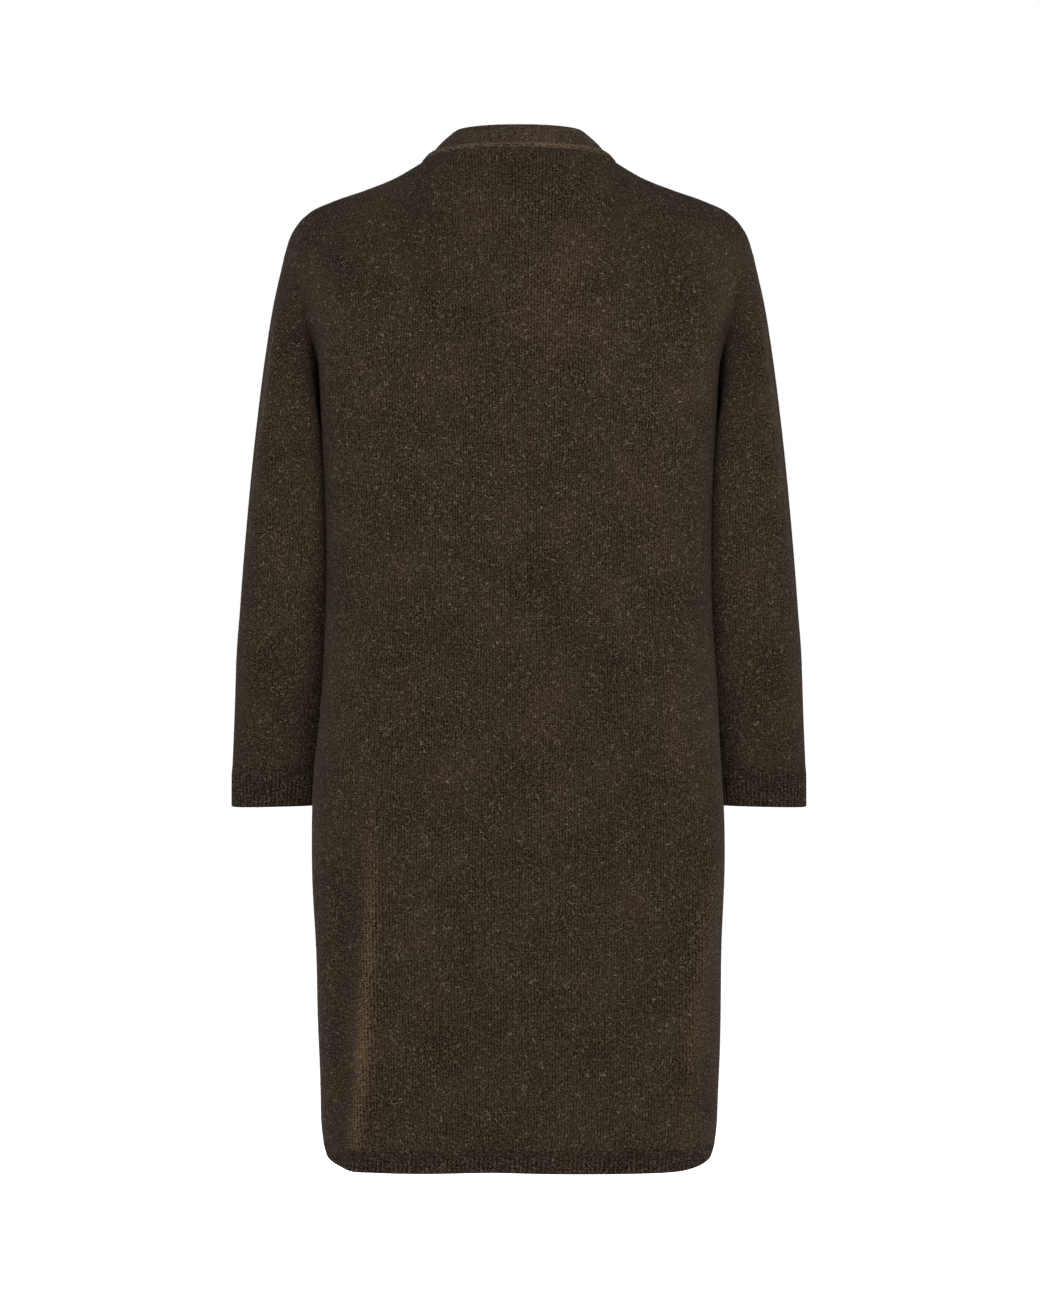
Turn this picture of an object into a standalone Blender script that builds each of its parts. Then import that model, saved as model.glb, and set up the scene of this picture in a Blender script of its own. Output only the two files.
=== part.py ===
"""A long knitted waterfall cardigan, filled out as worn and left hollow.

Units are metres, +Z is up, the front faces -Y and +X is the wearer's left.
The origin lies between the two shoulders, level with the seam of the neck,
where the wearer's shoulders carry the garment.

Every piece is a wall of cloth. Its outer face is a grid of points worked out
from the sizes and tables below, and its inner face lies one cloth thickness
further in.
"""

import math
from collections import namedtuple

import bmesh
import bpy
import numpy as np

# Cloth and seams
CLOTH = 0.0025
BAND_CLOTH = 0.0040
SEAM_GAP = 0.0003

# Heights
HEM = -0.952
HEM_RIB_TOP = -0.930
UNDERARM = -0.205

# Neck and collar band
NECK_HALF_WIDTH = 0.092
NECK_BACK = 0.075
NECK_RISE = 0.004
COLLAR_HALF_WIDTH = 0.060
COLLAR_BACK = 0.058
COLLAR_SIDE_HEIGHT = 0.031
COLLAR_BACK_HEIGHT = 0.0275
WELT_RISE = 0.0016
FRONT_BAND = 0.042
FRONT_BAND_TURN = 0.12

# Armhole: a leaning oval between the shoulder end and the underarm
SHOULDER_END = (0.2256, -0.092)
UNDERARM_OUT = 0.190
ARMHOLE_DEPTH = 0.062
ARMHOLE_LEAN = (-0.0025, 0.0050)
ARMHOLE_FORWARD = 0.004

# How a seam's direction passes from both pieces' shared one above to each
# piece's own at the underarm
OWN_LEAST = 0.1
OWN_FROM_ANGLE = 90.0
OWN_ANGLE_SPAN = 60.0

# Ribbing
RIB_PITCH = 0.0042
RIB_RISE = 0.0009
RIBS_PER_INNER_STEP = 4

# Mesh counts
BACK_HALF_COLUMNS = 12
NECK_COLUMNS = 5
YOKE_ROWS = 9
SIDE_COLUMNS = 6
FOLD_COLUMNS = 6
BAND_COLUMNS = 3
FINE = 240

# Curve powers: 2 is an ellipse, more is squarer
BACK_POWER = 4.2
FRONT_POWER = 2.5
NECK_POWER = 2.2
EDGE_POWER = 4.0
YOKE_EASE = 1.5
NAPE_SPREAD = 0.095
NAPE_POWER = 8.0
SETTLE_POWER = 3
SHARP_ANGLE = 50.0

# The body at each height: half its width and how far its back and front stand out
BodySection = namedtuple("BodySection", "height half_width back front")
BODY_SECTIONS = (
    BodySection(-0.952, 0.1845, 0.1200, 0.1150),
    BodySection(-0.930, 0.1880, 0.1205, 0.1150),
    BodySection(-0.880, 0.1915, 0.1215, 0.1155),
    BodySection(-0.760, 0.1945, 0.1225, 0.1160),
    BodySection(-0.640, 0.1965, 0.1215, 0.1150),
    BodySection(-0.520, 0.1885, 0.1170, 0.1110),
    BodySection(-0.400, 0.1835, 0.1120, 0.1080),
    BodySection(-0.300, 0.1860, 0.1125, 0.1110),
    BodySection(-0.205, 0.1900, 0.1150, 0.1120),
)
BODY_ROW_HEIGHTS = (
    -0.915, -0.880, -0.820, -0.760, -0.700, -0.640, -0.580,
    -0.520, -0.460, -0.400, -0.340, -0.285, -0.240,
)

# The ridge of the shoulder, from the side of the neck to the shoulder's end
ShoulderPoint = namedtuple("ShoulderPoint", "out height")
SHOULDER = (
    ShoulderPoint(0.0920, 0.0000),
    ShoulderPoint(0.1180, -0.0125),
    ShoulderPoint(0.1470, -0.0240),
    ShoulderPoint(0.1800, -0.0355),
    ShoulderPoint(0.2016, -0.0470),
    ShoulderPoint(0.2120, -0.0586),
    ShoulderPoint(0.2210, -0.0760),
    ShoulderPoint(0.2256, -0.0920),
)

# The sleeve's rings: where its outer and inner lines run, and its depth
SleeveRing = namedtuple(
    "SleeveRing", "outer_height outer inner_height inner middle half_depth power"
)
SLEEVE_RINGS = (
    SleeveRing(-0.141, 0.2360, -0.234, 0.1925, -0.010, 0.0625, 2.1),
    SleeveRing(-0.189, 0.2430, -0.266, 0.1905, -0.019, 0.0610, 2.2),
    SleeveRing(-0.250, 0.2500, -0.302, 0.1870, -0.028, 0.0590, 2.3),
    SleeveRing(-0.330, 0.2575, -0.352, 0.1835, -0.036, 0.0550, 2.4),
    SleeveRing(-0.410, 0.2645, -0.418, 0.1820, -0.041, 0.0505, 2.4),
    SleeveRing(-0.500, 0.2705, -0.500, 0.1855, -0.045, 0.0450, 2.4),
    SleeveRing(-0.578, 0.2740, -0.578, 0.1905, -0.047, 0.0390, 2.4),
)
CUFF_RING = SleeveRing(-0.616, 0.2746, -0.616, 0.1930, -0.047, 0.0345, 2.4)

# The falling front: where its folds start, where its free edge hangs, and the
# length of cloth folded up between the two
DrapeSection = namedtuple("DrapeSection", "height start edge cloth")
DRAPE_SECTIONS = (
    DrapeSection(-0.952, 0.148, 0.070, 0.272),
    DrapeSection(-0.700, 0.148, 0.068, 0.235),
    DrapeSection(-0.450, 0.140, 0.066, 0.172),
    DrapeSection(-0.300, 0.132, 0.066, 0.112),
    DrapeSection(-0.205, 0.126, 0.068, 0.078),
)
DRAPE_DIP = 0.016
WIDEST_SWING = 2.1
SWING_TRIES = 30

# The folds of the front, from the side to the free edge
FrontFold = namedtuple("FrontFold", "share swing")
FRONT_FOLDS = (
    FrontFold(0.23, 0.92),
    FrontFold(0.27, -1.00),
    FrontFold(0.27, 1.05),
    FrontFold(0.23, -0.95),
)

# The folds of the back: a soft ridge or trough between two places
BackFold = namedtuple("BackFold", "top_out top bottom_out bottom width rise")
BACK_FOLDS = (
    BackFold(0.146, -0.600, 0.156, -1.060, 0.026, 0.0075),
    BackFold(-0.174, -0.620, -0.157, -0.940, 0.024, 0.0055),
    BackFold(0.072, -0.560, 0.040, -1.060, 0.040, -0.0065),
    BackFold(-0.130, -0.240, -0.134, -0.520, 0.022, 0.0035),
    BackFold(0.112, -0.330, 0.090, -0.560, 0.026, 0.0035),
)
FOLD_FADE = 0.35

# The collar band's rows: the share of its height, and how far the welt lifts it
CollarRow = namedtuple("CollarRow", "share rise")
COLLAR_ROWS = (
    CollarRow(0.00, 0.0),
    CollarRow(0.07, WELT_RISE),
    CollarRow(0.16, WELT_RISE),
    CollarRow(0.26, 0.0),
    CollarRow(0.50, 0.0),
    CollarRow(0.78, 0.0),
    CollarRow(1.00, 0.0),
)

WOOL = (0.050, 0.036, 0.025, 1.0)
RIB_WOOL = (0.043, 0.031, 0.021, 1.0)
BAND_WOOL = (0.058, 0.042, 0.030, 1.0)
WOOL_ROUGHNESS = 0.95


def clear_scene():
    """Removes whatever the scene starts with."""
    for old in list(bpy.data.objects):
        bpy.data.objects.remove(old, do_unlink=True)


def wool_material(name, colour):
    """A matt woollen finish in one colour."""
    material = bpy.data.materials.new(name)
    material.use_nodes = True
    shader = material.node_tree.nodes["Principled BSDF"]
    shader.inputs["Base Color"].default_value = colour
    shader.inputs["Roughness"].default_value = WOOL_ROUGHNESS
    shader.inputs["Metallic"].default_value = 0.0
    material.diffuse_color = colour
    return material


def smooth_value(knots, values, at):
    """The value at one place on a smooth curve through the given knots."""
    knots = np.asarray(knots, float)
    values = np.asarray(values, float)
    slopes = np.gradient(values, knots)
    last = len(knots) - 2
    index = int(np.clip(np.searchsorted(knots, at) - 1, 0, last))
    span = knots[index + 1] - knots[index]
    part = float(np.clip((at - knots[index]) / span, 0.0, 1.0))
    rest = 1.0 - part
    start = values[index] * rest * rest * (1.0 + 2.0 * part)
    end = values[index + 1] * part * part * (3.0 - 2.0 * part)
    bend = slopes[index] * part * rest * rest - slopes[index + 1] * part * part * rest
    return start + end + bend * span


def from_table(rows, column, at):
    """One column of a table, read smoothly at a height."""
    knots = [row.height for row in rows]
    values = [getattr(row, column) for row in rows]
    return smooth_value(knots, values, at)


def unit(vectors):
    """Vectors brought to length one."""
    vectors = np.asarray(vectors, float)
    return vectors / np.linalg.norm(vectors, axis=-1, keepdims=True)


def along(curve, fractions):
    """Points on a fine polyline at fractions of its length."""
    steps = np.linalg.norm(np.diff(curve, axis=0), axis=1)
    length = np.concatenate([[0.0], np.cumsum(steps)])
    at = np.asarray(fractions, float) * length[-1]
    return np.stack([np.interp(at, length, curve[:, axis]) for axis in range(3)], axis=1)


def rounded_quarter(half_width, depth, power):
    """A quarter of a rounded rectangle, from its middle out to its side."""
    angle = np.linspace(0.0, math.pi / 2, FINE)
    out = half_width * np.sin(angle) ** (2.0 / power)
    back = depth * np.cos(angle) ** (2.0 / power)
    return np.stack([out, back, np.zeros(FINE)], axis=1)


def back_section(height):
    """The back half of the body at one height, between the side seams."""
    half_width = from_table(BODY_SECTIONS, "half_width", height)
    depth = from_table(BODY_SECTIONS, "back", height)
    quarter = rounded_quarter(half_width, depth, BACK_POWER)
    quarter[:, 2] = height
    return quarter


def front_section(height):
    """The front at one height: along the body, then through the folds."""
    half_width = from_table(BODY_SECTIONS, "half_width", height)
    depth = from_table(BODY_SECTIONS, "front", height)
    start = from_table(DRAPE_SECTIONS, "start", height)
    quarter = rounded_quarter(half_width, -depth, FRONT_POWER)[::-1]
    body = quarter[quarter[:, 0] >= start]
    heading = body[-1] - body[-2]
    turn = math.atan2(-heading[1], -heading[0])
    drape = body[-1] + drape_path(height, turn)
    body[:, 2] = height
    drape[:, 2] = height
    return body, drape


def fold_headings(turn, swing):
    """The cloth's heading along the folds, for one size of swing."""
    done = np.linspace(0.0, 1.0, FINE)
    heading = turn * (1.0 - done) ** SETTLE_POWER
    fold_start = 0.0
    for fold in FRONT_FOLDS:
        inside = (done >= fold_start) & (done <= fold_start + fold.share)
        wave = np.sin(math.pi * (done - fold_start) / fold.share)
        heading = heading + np.where(inside, swing * fold.swing * wave, 0.0)
        fold_start += fold.share
    return heading


def drape_path(height, turn):
    """The folded cloth at one height, swung until its edge hangs where it should."""
    cloth = from_table(DRAPE_SECTIONS, "cloth", height)
    reach = from_table(DRAPE_SECTIONS, "start", height)
    reach -= from_table(DRAPE_SECTIONS, "edge", height)
    low, high = 0.0, WIDEST_SWING
    for _ in range(SWING_TRIES):
        swing = (low + high) / 2
        if cloth * np.cos(fold_headings(turn, swing)).mean() > reach:
            low = swing
        else:
            high = swing
    heading = fold_headings(turn, swing)[:-1]
    step = cloth / (FINE - 1)
    across = np.concatenate([[0.0], np.cumsum(np.cos(heading))]) * step
    forward = np.concatenate([[0.0], np.cumsum(np.sin(heading))]) * step
    return np.stack([-across, -forward, np.zeros(FINE)], axis=1)


def armhole_point(angle, side_sign):
    """A point of the left armhole: 0 at the shoulder's end, 180 at the underarm."""
    top = np.array([SHOULDER_END[0], 0.0, SHOULDER_END[1]])
    bottom = np.array([UNDERARM_OUT, 0.0, UNDERARM])
    depth = np.array([ARMHOLE_LEAN[0], side_sign * ARMHOLE_DEPTH, ARMHOLE_LEAN[1]])
    forward = np.array([0.0, -ARMHOLE_FORWARD, 0.0])
    middle = (top + bottom) / 2
    half = (top - bottom) / 2
    turn = math.radians(angle)
    return middle + half * math.cos(turn) + (depth + forward) * math.sin(turn)


def armhole_outward(angle, side_sign):
    """The direction square to the armhole's oval, away from the arm."""
    half = np.array([SHOULDER_END[0] - UNDERARM_OUT, 0.0, SHOULDER_END[1] - UNDERARM]) / 2
    depth = np.array([ARMHOLE_LEAN[0], side_sign * ARMHOLE_DEPTH, ARMHOLE_LEAN[1]])
    turn = math.radians(angle)
    outward = half * math.cos(turn) / (half @ half) + depth * math.sin(turn) / (depth @ depth)
    return unit(outward)


def armhole_normal(own, angle, side_sign):
    """A piece's direction at the armhole: shared above, more its own at the underarm."""
    share = OWN_LEAST + min(max((angle - OWN_FROM_ANGLE) / OWN_ANGLE_SPAN, 0.0), 1.0)
    return unit(own * share + armhole_outward(angle, side_sign))


def yoke_angles():
    """The armhole's angles at the yoke's rows, from the underarm to the shoulder."""
    return np.linspace(180.0, 0.0, YOKE_ROWS + 1)


def yoke_row(angle, chest, top):
    """One row of cloth between the chest line and the shoulder, on a quarter oval."""
    rise = (1.0 + math.cos(math.radians(angle))) / 2
    lean = math.sqrt(1.0 - rise * rise)
    row = chest + (top - chest) * rise
    row[:, 0] = chest[:, 0] + (top[:, 0] - chest[:, 0]) * rise ** YOKE_EASE
    soft = top[:, 1].max() * np.exp(-((top[:, 0] / NAPE_SPREAD) ** 2))
    ridge = soft + (top[:, 1] - soft) * rise ** NAPE_POWER
    row[:, 1] = ridge + (chest[:, 1] - ridge) * lean
    return row


def shoulder_curve():
    """The ridge of the left shoulder from the neck to its end."""
    out = [point.out for point in SHOULDER]
    places = np.linspace(out[0], out[-1], FINE)
    heights = [smooth_value(out, [point.height for point in SHOULDER], x) for x in places]
    return np.stack([places, np.zeros(FINE), heights], axis=1)


def neck_curve():
    """The seam of the neck from the middle of the back to the left side."""
    curve = rounded_quarter(NECK_HALF_WIDTH, NECK_BACK, NECK_POWER)
    curve[:, 2] = NECK_RISE * curve[:, 1] / NECK_BACK
    return curve


def collar_curve():
    """The top edge of the collar from the middle of the back to the left side."""
    curve = rounded_quarter(COLLAR_HALF_WIDTH, COLLAR_BACK, NECK_POWER)
    drop = COLLAR_BACK_HEIGHT - COLLAR_SIDE_HEIGHT
    curve[:, 2] = COLLAR_SIDE_HEIGHT + drop * curve[:, 1] / COLLAR_BACK
    return curve


def mirrored(half):
    """A row from the middle to the left, with its right half added before it."""
    right = half[:0:-1] * np.array([-1.0, 1.0, 1.0])
    return np.concatenate([right, half])


def grid_normals(points, closed=False):
    """The outward direction at each point of a grid of rows that run leftward."""
    if closed:
        around = np.roll(points, -1, axis=1) - np.roll(points, 1, axis=1)
    else:
        around = np.gradient(points, axis=1)
    upward = np.gradient(points, axis=0)
    return unit(np.cross(upward, around))


def levelled(normals):
    """The same directions turned level."""
    return unit(normals * np.array([1.0, 1.0, 0.0]))


def ease(part):
    """A soft step from nought to one."""
    part = np.clip(part, 0.0, 1.0)
    return part * part * (3.0 - 2.0 * part)


def back_fold_rise(points):
    """How far the back's folds lift the cloth at each point."""
    out = points[..., 0]
    height = points[..., 2]
    rise = np.zeros(out.shape)
    for fold in BACK_FOLDS:
        part = (fold.top - height) / (fold.top - fold.bottom)
        middle = fold.top_out + (fold.bottom_out - fold.top_out) * part
        across = np.exp(-(((out - middle) / fold.width) ** 2))
        fade = ease(part / FOLD_FADE) * ease((1.0 - part) / FOLD_FADE)
        rise += fold.rise * across * fade
    return rise


def back_grid():
    """The back: rows from the hem ribbing up to the shoulders and neck."""
    fractions = np.linspace(0.0, 1.0, BACK_HALF_COLUMNS + 1)
    heights = (HEM_RIB_TOP + SEAM_GAP / 2,) + BODY_ROW_HEIGHTS
    halves = [along(back_section(height), fractions) for height in heights]
    chest = along(back_section(UNDERARM), fractions)
    neck = along(neck_curve(), np.linspace(0.0, 1.0, NECK_COLUMNS + 1))
    shoulder_columns = BACK_HALF_COLUMNS - NECK_COLUMNS
    shoulder = along(shoulder_curve(), np.linspace(0.0, 1.0, shoulder_columns + 1))
    top = np.concatenate([neck, shoulder[1:]])
    for angle in yoke_angles():
        row = yoke_row(angle, chest, top)
        pull = armhole_point(angle, 1) - row[-1]
        row = row + np.outer(fractions ** EDGE_POWER, pull)
        halves.append(row)
    return np.array([mirrored(half) for half in halves])


def back_normals(points):
    """The back's outward directions, matched to its neighbours at the seams."""
    normals = grid_normals(points)
    normals[0] = levelled(normals[0])
    for column, sign in ((0, -1.0), (-1, 1.0)):
        mirror = np.array([sign, 1.0, 1.0])
        first_yoke = len(points) - YOKE_ROWS - 1
        normals[:first_yoke, column] = (sign, 0.0, 0.0)
        for row, angle in enumerate(yoke_angles()):
            own = normals[first_yoke + row, column] * mirror
            normals[first_yoke + row, column] = armhole_normal(own, angle, 1) * mirror
    shoulder = abs(points[-1, :, 0]) >= NECK_HALF_WIDTH - SEAM_GAP
    ridge = np.gradient(points[-1], axis=0)
    upright = unit(np.stack([-ridge[:, 2], np.zeros(len(ridge)), ridge[:, 0]], axis=1))
    normals[-1, shoulder] = upright[shoulder]
    return normals


def front_columns(body, drape):
    """One row of the left front, at fixed shares of its plain and folded cloth."""
    plain = along(body, np.linspace(0.0, 1.0, SIDE_COLUMNS + 1))
    shares = [0.0]
    for fold in FRONT_FOLDS:
        parts = np.arange(1, FOLD_COLUMNS + 1) / FOLD_COLUMNS
        shares.extend(shares[-1] + fold.share * parts)
    folded = along(drape, shares)
    return np.concatenate([plain, folded[1:]])


def front_row(height):
    """One row of the left front at a height, dipping towards the free edge."""
    row = front_columns(*front_section(height))
    return dipped(row, height)


def dipped(row, height):
    """Lets the lower front hang a little deeper towards its free edge."""
    down = max(0.0, (UNDERARM - height) / (UNDERARM - HEM))
    row[:, 2] -= DRAPE_DIP * down * ease(np.linspace(0.0, 1.0, len(row)))
    return row


def front_grid():
    """The left front: rows from the hem ribbing up to the shoulder seam."""
    heights = (HEM_RIB_TOP + SEAM_GAP / 2,) + BODY_ROW_HEIGHTS
    rows = [front_row(height) for height in heights]
    chest = front_row(UNDERARM)
    steps = np.linalg.norm(np.diff(chest, axis=0), axis=1)
    fractions = np.concatenate([[0.0], np.cumsum(steps)]) / steps.sum()
    top = along(shoulder_curve()[::-1], fractions)
    for angle in yoke_angles():
        row = yoke_row(angle, chest, top)
        pull = armhole_point(angle, -1) - row[0]
        rows.append(row + np.outer((1.0 - fractions) ** EDGE_POWER, pull))
    return np.array(rows)


def front_normals(points):
    """The left front's outward directions, matched to its neighbours."""
    normals = grid_normals(points)
    normals[0] = levelled(normals[0])
    first_yoke = len(points) - YOKE_ROWS - 1
    normals[:first_yoke, 0] = (1.0, 0.0, 0.0)
    for row, angle in enumerate(yoke_angles()):
        own = normals[first_yoke + row, 0]
        normals[first_yoke + row, 0] = armhole_normal(own, angle, -1)
    band = grid_normals(front_band_grid(points))
    normals[:, -1] = unit(normals[:, -1] + band[:, 0])
    ridge = np.gradient(points[-1], axis=0)
    normals[-1] = unit(np.stack([ridge[:, 2], np.zeros(len(ridge)), -ridge[:, 0]], axis=1))
    return normals


def collar_share(edge):
    """How far the front band has turned into the collar, from nought to one."""
    return np.clip(1.0 - edge[:, 2] / UNDERARM, 0.0, 1.0) ** 2


def band_directions(edge):
    """The way the front band runs on from the front's edge, row by row."""
    level = np.array([-1.0, -FRONT_BAND_TURN, 0.0])
    collar = collar_curve()[-1] - neck_curve()[-1]
    rise = collar_share(edge)[:, None]
    return unit(unit(level) * (1.0 - rise) + unit(collar) * rise)


def front_band_grid(front):
    """The left front band: the same rows as the front, a few columns across."""
    edge = front[:, -1].copy()
    edge[0, 2] += HEM - HEM_RIB_TOP
    directions = band_directions(edge)
    collar = np.linalg.norm(collar_curve()[-1] - neck_curve()[-1])
    widths = FRONT_BAND + (collar - FRONT_BAND) * collar_share(edge)
    places = np.linspace(0.0, 1.0, BAND_COLUMNS + 1)
    columns = [edge + directions * (SEAM_GAP + place * widths)[:, None] for place in places]
    return np.stack(columns, axis=1)


def neck_band_grid():
    """The collar band round the back of the neck, from its seam to its top edge."""
    fractions = np.linspace(0.0, 1.0, 2 * NECK_COLUMNS + 1)
    seam = mirrored(along(neck_curve(), fractions))
    top = mirrored(along(collar_curve(), fractions))
    grid = np.array([seam + (top - seam) * row.share for row in COLLAR_ROWS])
    grid[0] += unit(top - seam) * SEAM_GAP
    return grid


def sleeve_ring(ring, columns):
    """One ring of the left sleeve, starting at its outer line and passing the back."""
    outer = np.array([ring.outer, ring.middle, ring.outer_height])
    inner = np.array([ring.inner, ring.middle, ring.inner_height])
    middle = (outer + inner) / 2
    half = (outer - inner) / 2
    angle = np.arange(columns) * 2.0 * math.pi / columns
    across = np.sign(np.cos(angle)) * abs(np.cos(angle)) ** (2.0 / ring.power)
    back = np.sign(np.sin(angle)) * abs(np.sin(angle)) ** (2.0 / ring.power)
    return middle + np.outer(across, half) + np.outer(back, [0.0, ring.half_depth, 0.0])


def armhole_ring():
    """The left armhole as the sleeve meets it, one seam gap further out."""
    columns = 2 * YOKE_ROWS
    points = []
    for column in range(columns):
        angle = column * 360.0 / columns
        side = 1 if angle <= 180.0 else -1
        points.append(armhole_point(angle if side > 0 else 360.0 - angle, side))
    points = np.array(points)
    half = points[0] - points[YOKE_ROWS]
    outward = unit(np.array([half[2], 0.0, -half[0]]))
    return points + outward * SEAM_GAP


def sleeve_grid():
    """The left sleeve: rings from the cuff up to the armhole."""
    columns = 2 * YOKE_ROWS
    rings = [sleeve_ring(ring, columns) for ring in reversed(SLEEVE_RINGS)]
    rings[0][:, 2] += SEAM_GAP / 2
    return np.array(rings + [armhole_ring()])


def sleeve_normals(points):
    """The left sleeve's outward directions, matched to the body at the armhole."""
    normals = -grid_normals(points, closed=True)
    columns = 2 * YOKE_ROWS
    for column in range(columns):
        turn = column * 360.0 / columns
        side = 1 if turn <= 180.0 else -1
        angle = turn if side > 0 else 360.0 - turn
        normals[-1, column] = armhole_normal(normals[-1, column], angle, side)
    return normals


def add_piece(name, mesh, material):
    """Puts a finished mesh into the scene as one named piece."""
    piece = bpy.data.objects.new(name, mesh)
    piece.data.materials.append(material)
    mesh.shade_smooth()
    mesh.set_sharp_from_angle(angle=math.radians(SHARP_ANGLE))
    bpy.context.scene.collection.objects.link(piece)
    return piece


def face_strip(shell, first, second, closed=False):
    """Fills the strip of faces between two equal rows of points."""
    count = len(first) if closed else len(first) - 1
    for index in range(count):
        after = (index + 1) % len(first)
        shell.faces.new((first[index], first[after], second[after], second[index]))


def wall_mesh(name, outer, inner, closed=False):
    """A closed wall between an outer and an inner grid of points."""
    shell = bmesh.new()
    outside = [[shell.verts.new(point) for point in row] for row in outer]
    inside = [[shell.verts.new(point) for point in row] for row in inner]
    for row in range(len(outer) - 1):
        face_strip(shell, outside[row], outside[row + 1], closed)
        face_strip(shell, inside[row + 1], inside[row], closed)
    face_strip(shell, inside[0], outside[0], closed)
    face_strip(shell, outside[-1], inside[-1], closed)
    if not closed:
        for column in (0, -1):
            first = [row[column] for row in outside]
            second = [row[column] for row in inside]
            face_strip(shell, first, second)
    bmesh.ops.recalc_face_normals(shell, faces=shell.faces[:])
    mesh = bpy.data.meshes.new(name)
    shell.to_mesh(mesh)
    shell.free()
    return mesh


def mirror_points(points):
    """The same points on the other side of the body."""
    return points * np.array([-1.0, 1.0, 1.0])


def add_pair(name, outer, inner, material, closed=False):
    """A left piece and its mirror image on the right."""
    add_piece(f"{name}_left", wall_mesh(f"{name}_left", outer, inner, closed), material)
    right = wall_mesh(f"{name}_right", mirror_points(outer), mirror_points(inner), closed)
    add_piece(f"{name}_right", right, material)


def build_back(material):
    """The back, in one piece from hem to shoulders."""
    points = back_grid()
    normals = back_normals(points)
    lift = back_fold_rise(points)
    lift[:, (0, -1)] = 0.0
    outer = points + normals * lift[..., None]
    outer[:-YOKE_ROWS, :, 1] += SEAM_GAP / 2
    outer[-1, :, 1] += SEAM_GAP / 2
    inner = outer - normals * CLOTH
    add_piece("back", wall_mesh("back", outer, inner), material)


def build_fronts(material):
    """The two fronts with their falling folds."""
    outer = front_grid()
    normals = front_normals(outer)
    outer[:-YOKE_ROWS, :, 1] -= SEAM_GAP / 2
    outer[-1, :, 1] -= SEAM_GAP / 2
    inner = outer - normals * CLOTH
    add_pair("front", outer, inner, material)


def build_front_bands(material):
    """The bands that finish the two free edges."""
    front = front_grid()
    outer = front_band_grid(front)
    normals = grid_normals(outer)
    collar = unit(collar_curve()[-1] - neck_curve()[-1])
    normals[:, 0] = front_normals(front)[:, -1]
    normals[-1] = (collar[2], 0.0, -collar[0])
    outer[-1, :, 1] -= SEAM_GAP / 2
    inner = outer - normals * BAND_CLOTH
    add_pair("front_band", outer, inner, material)


def build_neck_band(material):
    """The collar band with the raised welt along its seam."""
    points = neck_band_grid()
    normals = grid_normals(points)
    collar = unit(collar_curve()[-1] - neck_curve()[-1])
    normals[:, -1] = (collar[2], 0.0, -collar[0])
    normals[:, 0] = (-collar[2], 0.0, -collar[0])
    normals[0] = levelled(normals[0])
    points[:, (0, -1), 1] += SEAM_GAP / 2
    rise = np.array([row.rise for row in COLLAR_ROWS])
    outer = points + normals * rise[:, None, None]
    inner = points - normals * BAND_CLOTH
    add_piece("neck_band", wall_mesh("neck_band", outer, inner), material)


def build_sleeves(material):
    """The two sleeves, from the armhole down to the cuff."""
    outer = sleeve_grid()
    inner = outer - sleeve_normals(outer) * CLOTH
    add_pair("sleeve", outer, inner, material, closed=True)


def rib_count(length):
    """Whole ribs in a length, in groups that share one step of the inner face."""
    groups = max(1, round(length / RIB_PITCH / RIBS_PER_INNER_STEP))
    return groups * RIBS_PER_INNER_STEP


def rib_normals(row, closed):
    """The level direction square to a row of ribs."""
    if closed:
        ahead = np.roll(row, -1, axis=0) - np.roll(row, 1, axis=0)
    else:
        ahead = np.gradient(row, axis=0)
    return unit(np.stack([ahead[:, 1], -ahead[:, 0], np.zeros(len(row))], axis=1))


def ribbed_mesh(name, rows, closed, mirror):
    """A band whose outer face is ribbed and whose inner face is plain."""
    shell = bmesh.new()
    outside = []
    inside = []
    for row in rows:
        normals = rib_normals(row, closed)
        raised = (np.arange(len(row)) % 2 == 1) * RIB_RISE
        outer = row + normals * raised[:, None]
        inner = (row - normals * CLOTH)[:: 2 * RIBS_PER_INNER_STEP]
        outside.append([shell.verts.new(point * mirror) for point in outer])
        inside.append([shell.verts.new(point * mirror) for point in inner])
    face_strip(shell, outside[0], outside[1], closed)
    face_strip(shell, inside[1], inside[0], closed)
    for level in (0, 1):
        rib_caps(shell, outside[level], inside[level], closed)
    if not closed:
        for end in (0, -1):
            corners = (outside[0][end], outside[1][end], inside[1][end], inside[0][end])
            shell.faces.new(corners)
    bmesh.ops.triangulate(shell, faces=shell.faces[:])
    bmesh.ops.recalc_face_normals(shell, faces=shell.faces[:])
    mesh = bpy.data.meshes.new(name)
    shell.to_mesh(mesh)
    shell.free()
    return mesh


def rib_caps(shell, outer, inner, closed):
    """Closes one end of a ribbed band between its ribs and its plain inner face."""
    span = 2 * RIBS_PER_INNER_STEP
    groups = len(inner) if closed else len(inner) - 1
    for group in range(groups):
        start = group * span
        edge = [outer[(start + step) % len(outer)] for step in range(span + 1)]
        back = [inner[(group + 1) % len(inner)], inner[group]]
        shell.faces.new(edge + back)


def build_hem_back(material):
    """The ribbing along the back's hem."""
    rows = []
    for height in (HEM, HEM_RIB_TOP - SEAM_GAP / 2):
        half = back_section(height)
        length = np.linalg.norm(np.diff(half, axis=0), axis=1).sum()
        curve = mirrored(half)[::-1]
        count = rib_count(2 * length) if not rows else (len(rows[0]) - 1) // 2
        row = along(curve, np.linspace(0.0, 1.0, 2 * count + 1))
        normals = rib_normals(row, False)
        row = row + normals * back_fold_rise(row)[:, None]
        row[:, 1] += SEAM_GAP / 2
        rows.append(row)
    add_piece("hem_back", ribbed_mesh("hem_back", rows, False, np.ones(3)), material)


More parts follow.
